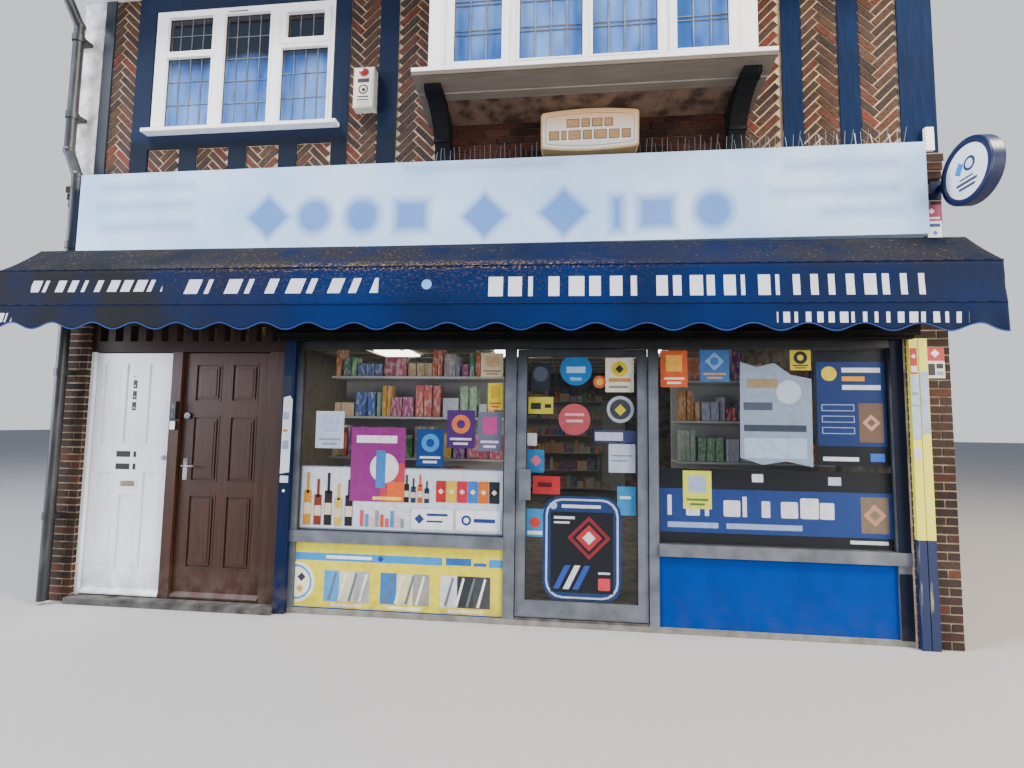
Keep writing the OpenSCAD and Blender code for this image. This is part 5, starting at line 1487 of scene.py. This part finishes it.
def riser_print():
    """The left riser's yellow card, with a blue band, a round motif and three striped pictures."""
    lo, hi = min(islands("stall_risers"), key=lambda b: b[0].x)
    yellow, blue = "#d9cc33", "#1d5ea8"
    rows = [("box", 1, yellow, lo.x + 0.003, hi.x - 0.003, 0.05, hi.z - 0.002),
            ("box", 2, "#2b86c8", -1.335, 0.345, 0.415, 0.475),
            ("box", 3, "#e2edf6", -1.08, -0.70, 0.433, 0.457),
            ("diamond", 3, "#1f3f86", -0.63, 0.445, 0.026), ("box", 3, yellow, -0.13, 0.24, 0.41, 0.48),
            ("box", 4, blue, -0.10, 0.10, 0.42, 0.475), ("box", 4, blue, 0.12, 0.22, 0.42, 0.445)]
    # The round motif is cut off by the card's left edge
    for layer, ink, r in ((2, "#e9e6d0", 0.16), (3, "#3a8cc0", 0.135), (4, "#f0ead8", 0.12)):
        rows.append(("shape", layer, ink, *[(max(-1.337, x), z) for x, z in disc(-1.33, 0.24, r, 32)]))
    rows += [("diamond", 5, "#33383c", -1.28, 0.28, 0.035), ("diamond", 5, "#c9a62c", -1.29, 0.19, 0.03)]
    z0, z1 = 0.10, 0.34
    for x0, x1, *inks in (
            (-1.09, -0.715, "#3f8fd0", "#c9c8a8", "#9aa0a4"),
            (-0.625, -0.229, "#2b6fb0", "#d6cf9a", "#8c8f8a"),
            (-0.139, 0.253, "#c9cdd2", "#2c3234", "#3b4144")):
        w = (x1 - x0) / 3
        rows += [("box", 2, ink, x0 + i * w, x0 + (i + 1) * w, z0, z1) for i, ink in enumerate(inks)]
        rows.append(("box", 2, "#eee7c8", x0 + 0.06, x1 - 0.06, 0.062, 0.085))
        for i in range(4):
            x = x0 + 0.03 + i * 0.085
            rows.append(("shape", 3, "#e4e4da" if i % 2 else "#5d6a74", (x, 0.11), (x + 0.02, 0.105),
                         (x + 0.075, 0.32), (x + 0.06, 0.33)))
    cards("riser_print", lo.y, rows)


def spikes():
    """Bird spikes: 2.5 mm stainless rods at 40 mm, splayed, on a base strip; they are drawn
    3.4 mm thick, so that they show."""
    rng = random.Random(21)
    top = high("fascia_sign").z
    thick, pitch, splay, y = 0.0034, 0.040, 0.3, -4.1525
    base = bmesh.new()
    items = []
    for x0, x1 in ((-0.24, 0.62), (1.36, 3.28)):
        add_box(base, (x0, x1), (y - 0.0125, y + 0.0125), (top, top + 0.005), 0.001)
        x = x0 + 0.02
        n = 0
        while x < x1 - 0.02:
            tilt = (-splay, 0.0, splay)[n % 3] + rng.uniform(-0.05, 0.05)
            sway = rng.uniform(-0.07, 0.07)
            tall = rng.uniform(0.115, 0.135)
            up = Euler((tilt, sway, 0)).to_matrix() @ Vector((0, 0, tall / 2))
            items.append((Vector((x, y, top + 0.003)) + up, (thick, thick, tall), (tilt, sway, 0), 0.5))
            x += pitch + rng.uniform(-0.004, 0.004)
            n += 1
    piece("spike_bases", base, "window_plastic")
    blocks("bird_spikes", items, "bar_steel", "sign_face", seed=4)


def barrel(cx, cz, half_w, half_h, crown, r):
    """Corners of a sign whose top and bottom bulge by crown, with corners rounded by r."""
    out = []
    for side in (-1, 1):
        for i in range(13):
            u = side * (i / 6 - 1)
            out.append((cx - u * (half_w - r), cz + side * (half_h + crown * (1 - u * u))))
        for a in (67.5, 45, 22.5, 0, -22.5, -45, -67.5):
            b = math.radians(a)
            x = -side * (half_w - r + r * math.cos(b))
            out.append((cx + x, cz + math.copysign(half_h - r, side * a) + side * r * math.sin(b)))
    return out


def licence_dressing():
    """Rim, face and two rows of plain blocks of the small sign under the bay."""
    x, z, y = BAY_X + 0.03, 3.83, -4.13
    half_w, half_h, crown, corner = 0.38, 0.148, 0.022, 0.03
    for name, inset, proud, finish in (
            ("licence_rim", 0.0, 0.005, "cream_rim"), ("licence_face", 0.014, 0.007, "licence_acrylic"),
            ("licence_line", 0.036, 0.0075, "tan_line"),
            ("licence_field", 0.041, 0.008, "licence_acrylic")):
        bm = bmesh.new()
        outline = barrel(x, z, half_w - inset, half_h - inset, crown, corner - inset * 0.4)
        add_plate(bm, outline, y, proud)
        piece(name, bm, finish)
    gap, edge = 0.016, 0.006
    rows = []
    for foot, tall, widths in ((3.848, 0.07, (0.1, 0.065, 0.08, 0.065)),
                               (3.748, 0.076, (0.08, 0.04, 0.095, 0.07, 0.1, 0.08, 0.07))):
        left = x - (sum(widths) + gap * (len(widths) - 1)) / 2
        for wide in widths:
            right = left + wide
            rows += [("card", 0, "#5d5348", left, right, foot, foot + tall),
                     ("card", 1, "#ab8a60", left + edge, right - edge, foot + edge, foot + tall - edge)]
            left = right + gap
    cards("licence_marks", y - 0.0082, rows)


def round_sign_dressing():
    """Faces, rolled rims and plain marks of the round sign that stands out from the wall."""
    y, z = -4.28, 3.315
    x0, x1 = 3.565, 3.635
    faces = bmesh.new()
    for x in (x0 + 0.004, x1 - 0.004):
        place = Matrix.Translation((x, y, z)) @ Matrix.Rotation(math.radians(90), 4, "Y")
        bmesh.ops.create_cone(faces, cap_ends=True, segments=72, radius1=0.1845, radius2=0.1845,
                              depth=0.007, matrix=place)
    piece("round_sign_faces", faces, "white_acrylic")
    rims = bmesh.new()
    around = 96
    for x, side in ((x0, -1), (x1, 1)):
        rings = []
        for k in range(9):
            a = math.pi * k / 8
            r = 0.2075 + 0.0225 * math.cos(a)
            out = x + side * 0.012 * math.sin(a)
            rings.append([rims.verts.new((out, y + r * math.cos(t), z + r * math.sin(t)))
                          for t in (math.tau * i / around for i in range(around))])
        for ring, other in zip(rings, rings[1:] + rings[:1]):
            for i in range(around):
                j = (i + 1) % around
                rims.faces.new((ring[i], ring[j], other[j], other[i])).smooth = True
    bmesh.ops.recalc_face_normals(rims, faces=rims.faces)
    piece("round_sign_rims", rims, "navy_enamel")
    ink = "#39435a"
    marks = cards("round_sign_marks", 0, [
        ("shape", 0, "#2a7fc8", (-0.10, 0.02), (-0.055, -0.01), (-0.02, 0.06), (-0.06, 0.09)),
        ("disc", 0, "#24375e", 0.03, 0.045, 0.05), ("disc", 1, "#dfe3e8", 0.03, 0.045, 0.032),
        ("box", 0, ink, -0.06, 0.06, -0.05, -0.038), ("box", 0, ink, -0.09, 0.09, -0.085, -0.066),
        ("box", 0, ink, -0.07, 0.07, -0.118, -0.10)])
    turn = Matrix.Rotation(math.radians(-90), 4, "Z")
    marks.data.transform(Matrix.Translation((x0 + 0.0005, y, z)) @ turn)


def alarm_dressing():
    """Raised cover with louvres, strobe and plain marks of the alarm box."""
    lo, hi = low("alarm_box"), high("alarm_box")
    front, x = lo.y, (lo.x + hi.x) / 2
    bm = bmesh.new()
    add_plate(bm, rounded(lo.x + 0.008, hi.x - 0.008, lo.z + 0.008, hi.z - 0.008, 0.012), front, 0.004)
    add_plate(bm, rounded(lo.x + 0.02, hi.x - 0.02, lo.z + 0.05, hi.z - 0.085, 0.01), front - 0.004, 0.003)
    for i in range(5):
        z = lo.z + 0.016 + i * 0.006
        add_box(bm, (lo.x + 0.04, hi.x - 0.04), (front - 0.0065, front - 0.0035), (z, z + 0.003))
    piece("alarm_cover", bm, "cream_plastic")
    bm = bmesh.new()
    place = Matrix.Translation((x, front - 0.004, hi.z - 0.045)) @ Matrix.Diagonal((1.25, 0.5, 1, 1))
    bmesh.ops.create_uvsphere(bm, u_segments=20, v_segments=10, radius=0.035, matrix=place)
    for f in bm.faces:
        f.smooth = True
    piece("alarm_lamp", bm, "red_lamp")
    black, grey = "#1d1f22", "#3c3e40"
    cards("alarm_marks", front - 0.007, [
        ("box", 0, "#26282c", x - 0.05, x + 0.05, lo.z + 0.215, lo.z + 0.25),
        ("disc", 0, black, x, lo.z + 0.155, 0.042), ("disc", 1, "#e6dcc6", x, lo.z + 0.155, 0.03),
        ("disc", 2, black, x + 0.004, lo.z + 0.15, 0.016),
        ("box", 0, grey, x - 0.048, x + 0.048, lo.z + 0.085, lo.z + 0.097),
        ("box", 0, grey, x - 0.048, x + 0.048, lo.z + 0.06, lo.z + 0.07)])


# Doors, shopfront and goods

def add_lock(bm, x, z, *steps):
    """Round plates and cylinders one on another; a step is (y0, y1, radius, sides)."""
    for y0, y1, radius, sides in steps:
        add_tube(bm, (x, y0, z), (x, y1, z), radius, sides)


def weather_bar(bm, x0, x1):
    """The sloped bar along the foot of a timber door."""
    points = [(LEAF, 0.062), (LEAF - 0.03, 0.062), (LEAF - 0.03, 0.075), (LEAF, 0.105)]
    add_profile(bm, points, x0, x1)


def white_door():
    """Beads, weather bar, letter plate and lock of the white door."""
    x0, wide, edge, muntin = -3.249, 0.72, 0.058, 0.034
    w = (wide - 2 * edge - 2 * muntin) / 3
    bm = bmesh.new()
    for i in range(3):
        a = x0 + edge + i * (w + muntin)
        # The middle lower panel is shorter, for the letter plate
        for z0, z1 in ((1.306, 2.012), (0.257, 0.89 if i == 1 else 1.08)):
            moulding(bm, a, a + w, z0, z1, LEAF + 0.008, 0.010, 0.0075)
    weather_bar(bm, x0 + 0.004, x0 + wide - 0.004)
    piece("flat_door_beads", bm, "white_paint", "flat_door")
    bm = bmesh.new()
    middle = x0 + wide / 2
    add_box(bm, (middle - 0.062, middle + 0.062), (LEAF - 0.009, LEAF - 0.0055), (0.955, 1.0), 0.002)
    piece("letter_plate", bm, "aged_brass", "flat_door")
    bm = bmesh.new()
    add_lock(bm, x0 + 0.675, 1.20, (LEAF, LEAF - 0.006, 0.022, 24), (LEAF - 0.006, LEAF - 0.012, 0.013, 20))
    piece("flat_door_metal", bm, "chrome", "flat_door")


def brown_door():
    """Beads, raised panels, weather bar, lock and lever of the brown door."""
    x0, wide, edge, muntin = -2.425, 0.773, 0.1, 0.09
    w = (wide - 2 * edge - muntin) / 2
    bevel = 0.045
    bm = bmesh.new()
    for i in range(2):
        a = x0 + edge + i * (w + muntin)
        for z0, z1 in ((0.3, 0.9), (1.01, 1.56), (1.68, 2.005)):
            moulding(bm, a, a + w, z0, z1, LEAF + 0.008, 0.012, 0.011)
            add_box(bm, (a + bevel, a + w - bevel), (LEAF - 0.004, LEAF + 0.002),
                    (z0 + bevel, z1 - bevel), 0.005)
    weather_bar(bm, x0 + 0.004, x0 + wide - 0.004)
    piece("side_door_beads", bm, "brown_paint", "side_door")
    bm = bmesh.new()
    x, lever = x0 + 0.055, 1.14
    add_lock(bm, x, 1.56, (LEAF - 0.014, LEAF - 0.019, 0.027, 28), (LEAF - 0.019, LEAF - 0.023, 0.012, 20))
    add_box(bm, (x - 0.02, x + 0.02), (LEAF - 0.004, LEAF), (1.02, 1.20), 0.002)
    add_tube(bm, (x, LEAF - 0.004, lever), (x, LEAF - 0.045, lever), 0.008, 14)
    add_tube(bm, (x, LEAF - 0.042, lever), (x + 0.1, LEAF - 0.042, lever), 0.008, 14)
    piece("side_door_metal", bm, "chrome", "side_door")


def entry_phone():
    """Face and buttons of the entry phone, and the switch under it."""
    x, y = -2.477, low("intercom").y
    bm = bmesh.new()
    add_plate(bm, rounded(x - 0.026, x + 0.026, 1.534, 1.676, 0.008), y, 0.003)
    piece("intercom_face", bm, "black_case")
    bm = bmesh.new()
    for i in range(3):
        z = 1.575 - i * 0.014
        add_tube(bm, (x, y - 0.003, z), (x, y - 0.006, z), 0.0045, 12)
    for i in range(6):
        add_box(bm, (x - 0.016, x + 0.016), (y - 0.0038, y - 0.0028), (1.62 + i * 0.007, 1.622 + i * 0.007))
    piece("intercom_buttons", bm, "chrome")
    bm = bmesh.new()
    add_plate(bm, rounded(x - 0.023, x + 0.023, 1.443, 1.512, 0.006), y + 0.006, 0.003)
    add_plate(bm, rounded(x - 0.011, x + 0.011, 1.458, 1.497, 0.003), y + 0.003, 0.004)
    piece("switch_face", bm, "window_plastic")


def shop_front_beads():
    """Glazing beads, seals and locks of the shopfront and the shop door."""
    seals, beads = bmesh.new(), bmesh.new()
    for lo, hi in islands("shop_glass"):
        frame_of_strips(seals, lo.x, hi.x, lo.z, hi.z, lo.y, 0.009, 0.005)
        for z0, z1 in ((lo.z - 0.014, lo.z), (hi.z, hi.z + 0.014)):
            add_box(beads, (lo.x, hi.x), (FRAME - 0.006, FRAME), (z0, z1), 0.002)
    piece("shopfront_seals", seals, "rubber_seal")
    piece("shopfront_beads", beads, "aluminium")
    bm = bmesh.new()
    for z0, z1 in ((0.04, 0.50), (0.60, 2.188)):
        add_box(bm, (3.204, 3.2895), (-3.984, -3.98), (z0, z1), 0.001)
    piece("end_post_cover", bm, "end_post")
    seals, metal_parts = bmesh.new(), bmesh.new()
    lo, hi = low("shop_door_glass"), high("shop_door_glass")
    frame_of_strips(seals, lo.x, hi.x, lo.z, hi.z, lo.y, 0.008, 0.005)
    piece("shop_door_seals", seals, "rubber_seal", "shop_door")
    face = -3.964
    add_lock(metal_parts, 0.48, 1.27, (face, face - 0.006, 0.017, 24),
             (face - 0.006, face - 0.010, 0.009, 16))
    add_box(metal_parts, (0.462, 1.433), (face - 0.002, face), (0.068, 0.178), 0.0008)
    piece("shop_door_metal", metal_parts, "aluminium", "shop_door")


def shutter_ribs():
    """Pressed ribs of the roller shutter's case, its two straps and the curtain's bottom rail."""
    lo, hi = low("shutter_box"), high("shutter_box")
    bm = bmesh.new()
    ribs, proud, slope, tall = 5, 0.009, 0.008, 0.03
    for i in range(ribs):
        z = lo.z + 0.022 + i * (hi.z - lo.z - tall) / ribs
        points = [(lo.y, z), (lo.y - proud, z + slope), (lo.y - proud, z + tall - slope), (lo.y, z + tall)]
        add_profile(bm, points, lo.x + 0.004, hi.x - 0.004)
    for x in (0.39, 1.49):
        add_box(bm, (x - 0.02, x + 0.02), (lo.y - 0.012, lo.y), (lo.z + 0.004, hi.z - 0.004), 0.003)
    add_box(bm, (lo.x + 0.02, hi.x - 0.02), (lo.y + 0.03, lo.y + 0.07), (lo.z - 0.02, lo.z), 0.004)
    piece("shutter_ribs", bm, "shutter_steel")


def goods():
    """Rows of packets on every shelf that the windows show."""
    rng = random.Random(33)
    items = []
    for lo, hi in islands("shelf_boards"):
        top = hi.z + 0.001
        x = lo.x + 0.02
        while x < hi.x - 0.08:
            w = rng.choice((0.03, 0.04, 0.055, 0.07, 0.1))
            h = rng.choice((0.12, 0.17, 0.21, 0.27)) * rng.uniform(0.95, 1.05)
            tone = rng.random()
            for _ in range(rng.choice((1, 1, 2, 2, 3))):
                if x + w > hi.x - 0.01:
                    break
                d = rng.uniform(0.10, 0.2)
                place = Vector((x + w / 2, lo.y + 0.02 + d / 2 + rng.uniform(0, 0.03), top + h / 2))
                items.append((place, (w, d, h), (0, 0, rng.uniform(-0.05, 0.05)), tone))
                x += w + 0.006
            x += rng.uniform(0.004, 0.02)
    blocks("shelf_goods", items, "packets", "shelf_metal", 0.02, seed=2)


def ceiling_grid():
    """White bars at 0.6 m that carry the shop's ceiling tiles."""
    bm = bmesh.new()
    ceiling = high("ceiling_lights").z
    spacing, half = 0.6, 0.012
    for i in range(11):
        x = -3.0 + i * spacing
        add_box(bm, (x - half, x + half), (-3.6, 3.6), (ceiling - 0.02, ceiling - 0.001))
    for i in range(12):
        y = -3.3 + i * spacing
        add_box(bm, (-3.3, 3.3), (y - half, y + half), (ceiling - 0.018, ceiling - 0.0015))
    piece("ceiling_grid", bm, "window_plastic")


def timber_fixings():
    """Rendered strip, post face and junction box of the upper front."""
    z0, z1 = PIER_TOP + 0.001, SOFFIT - 0.001
    for name, x, y, z, bevel, finish, slot in (
            ("render_strip", (LEFT + 0.001, -3.385), (-3.999, WALL_FACE), (z0, z1), 0.0,
             "white_render", "old_brick"),
            # The post face is painted shade: the navy paint drawn near-black
            ("party_post_face", (-3.382, -3.284), (-4.003, FRONT), (z0, z1), 0.001,
             "dark_timber", "navy_timber"),
            ("junction_box", (3.489, 3.55), (-4.03, FRONT), (3.61, 3.79), 0.004,
             "window_plastic", "white_plastic")):
        bm = bmesh.new()
        add_box(bm, x, y, z, bevel)
        piece(name, bm, finish)


# Setting up

def dress_nodes():
    """Gives every CAD node its finish."""
    for finish, names in {
            "concrete": "floor_slab shop_lintel", "worn_step": "thresholds", "party_render": "party_wall",
            "grey_mortar": "flank_wall rear_wall_lower rear_wall_upper chimney_stack",
            "pier_mortar": "brick_piers", "cream_mortar": "front_wall_upper",
            "plaster": "first_floor ceiling", "dark_mortar": "front_roof rear_roof",
            "ridge_clay": "ridge_tiles",
            "white_paint": "eaves_boards gable_boards flat_door flat_door_jamb rear_joinery",
            "black_plastic": "gutters downpipes", "navy_timber": "timber_frame",
            "window_plastic": "window_frame bay_frame", "upper_pane": "window_glass",
            "grey_board": "bay_base", "lead_sheet": "bay_roof", "bracket_timber": "bay_brackets",
            "aluminium": "left_shopfront right_shopfront shop_door_head shop_door",
            "shop_pane": "shop_glass shop_door_glass", "riser_blue": "stall_risers",
            "shutter_steel": "shutter_box", "brown_paint": "side_door entrance_jambs",
            "brown_head": "entrance_head", "black_case": "intercom",
            "blue_gloss": "blue_post canopy_fabric", "pilaster_paint": "pilaster",
            "fascia_acrylic": "fascia_sign", "bar_steel": "canopy_frame",
            "cream_rim": "licence_sign", "navy_enamel": "round_sign", "cream_plastic": "alarm_box",
            "light_diffuser": "ceiling_lights", "shelf_steel": "shelf_backs shelf_boards"}.items():
        for name in names.split():
            for s in NODES[name].material_slots:
                s.material = MAT[finish]


def stage():
    """Floor, lamps and backdrop of the studio."""
    material("studio_floor", 0.9, "#a9a8a6", Specular_IOR_Level=0.1)
    bm = bmesh.new()
    under = Matrix.Translation((0, 0, -0.002))
    bmesh.ops.create_grid(bm, x_segments=1, y_segments=1, size=60, matrix=under)
    mesh = bpy.data.meshes.new("floor")
    bm.to_mesh(mesh)
    bm.free()
    mesh.materials.append(MAT["studio_floor"])
    placed("floor", mesh)
    add_world()
    add_lamp("sky_left", (-8, -8.5, 14), (0, -4, 3), 5, 3600, "#eaf0ff")
    add_lamp("sky_right", (10, -8.5, 12), (0.5, -4, 3), 4, 3400, "#fff0dc")
    add_lamp("low_left", (-14, -11, 4), (0, -4, 3), 5, 2500, "#f2f4ff")
    add_lamp("low_right", (14, -11, 4), (0, -4, 3), 5, 2500, "#fff4e8")


add_camera()
for make in (make_finishes, canopy_canvas, fascia_acrylic, printed_card, light_diffuser, pilaster_paint,
             licence_acrylic, window_pane, upper_pane, packets):
    make()
BLOCKS = block_tree()
LEADS = lead_tree()
dress_nodes()
for dress in (nogging, walls, roof_tiles, window_dressing, bay_underside, canopy, spikes, licence_dressing,
              round_sign_dressing, alarm_dressing, window_posters, door_posters, white_door, brown_door,
              entry_phone, rear_trim, shop_front_beads, shutter_ribs, post_cards, door_plates,
              riser_print, goods, ceiling_grid, timber_fixings, stage):
    dress()
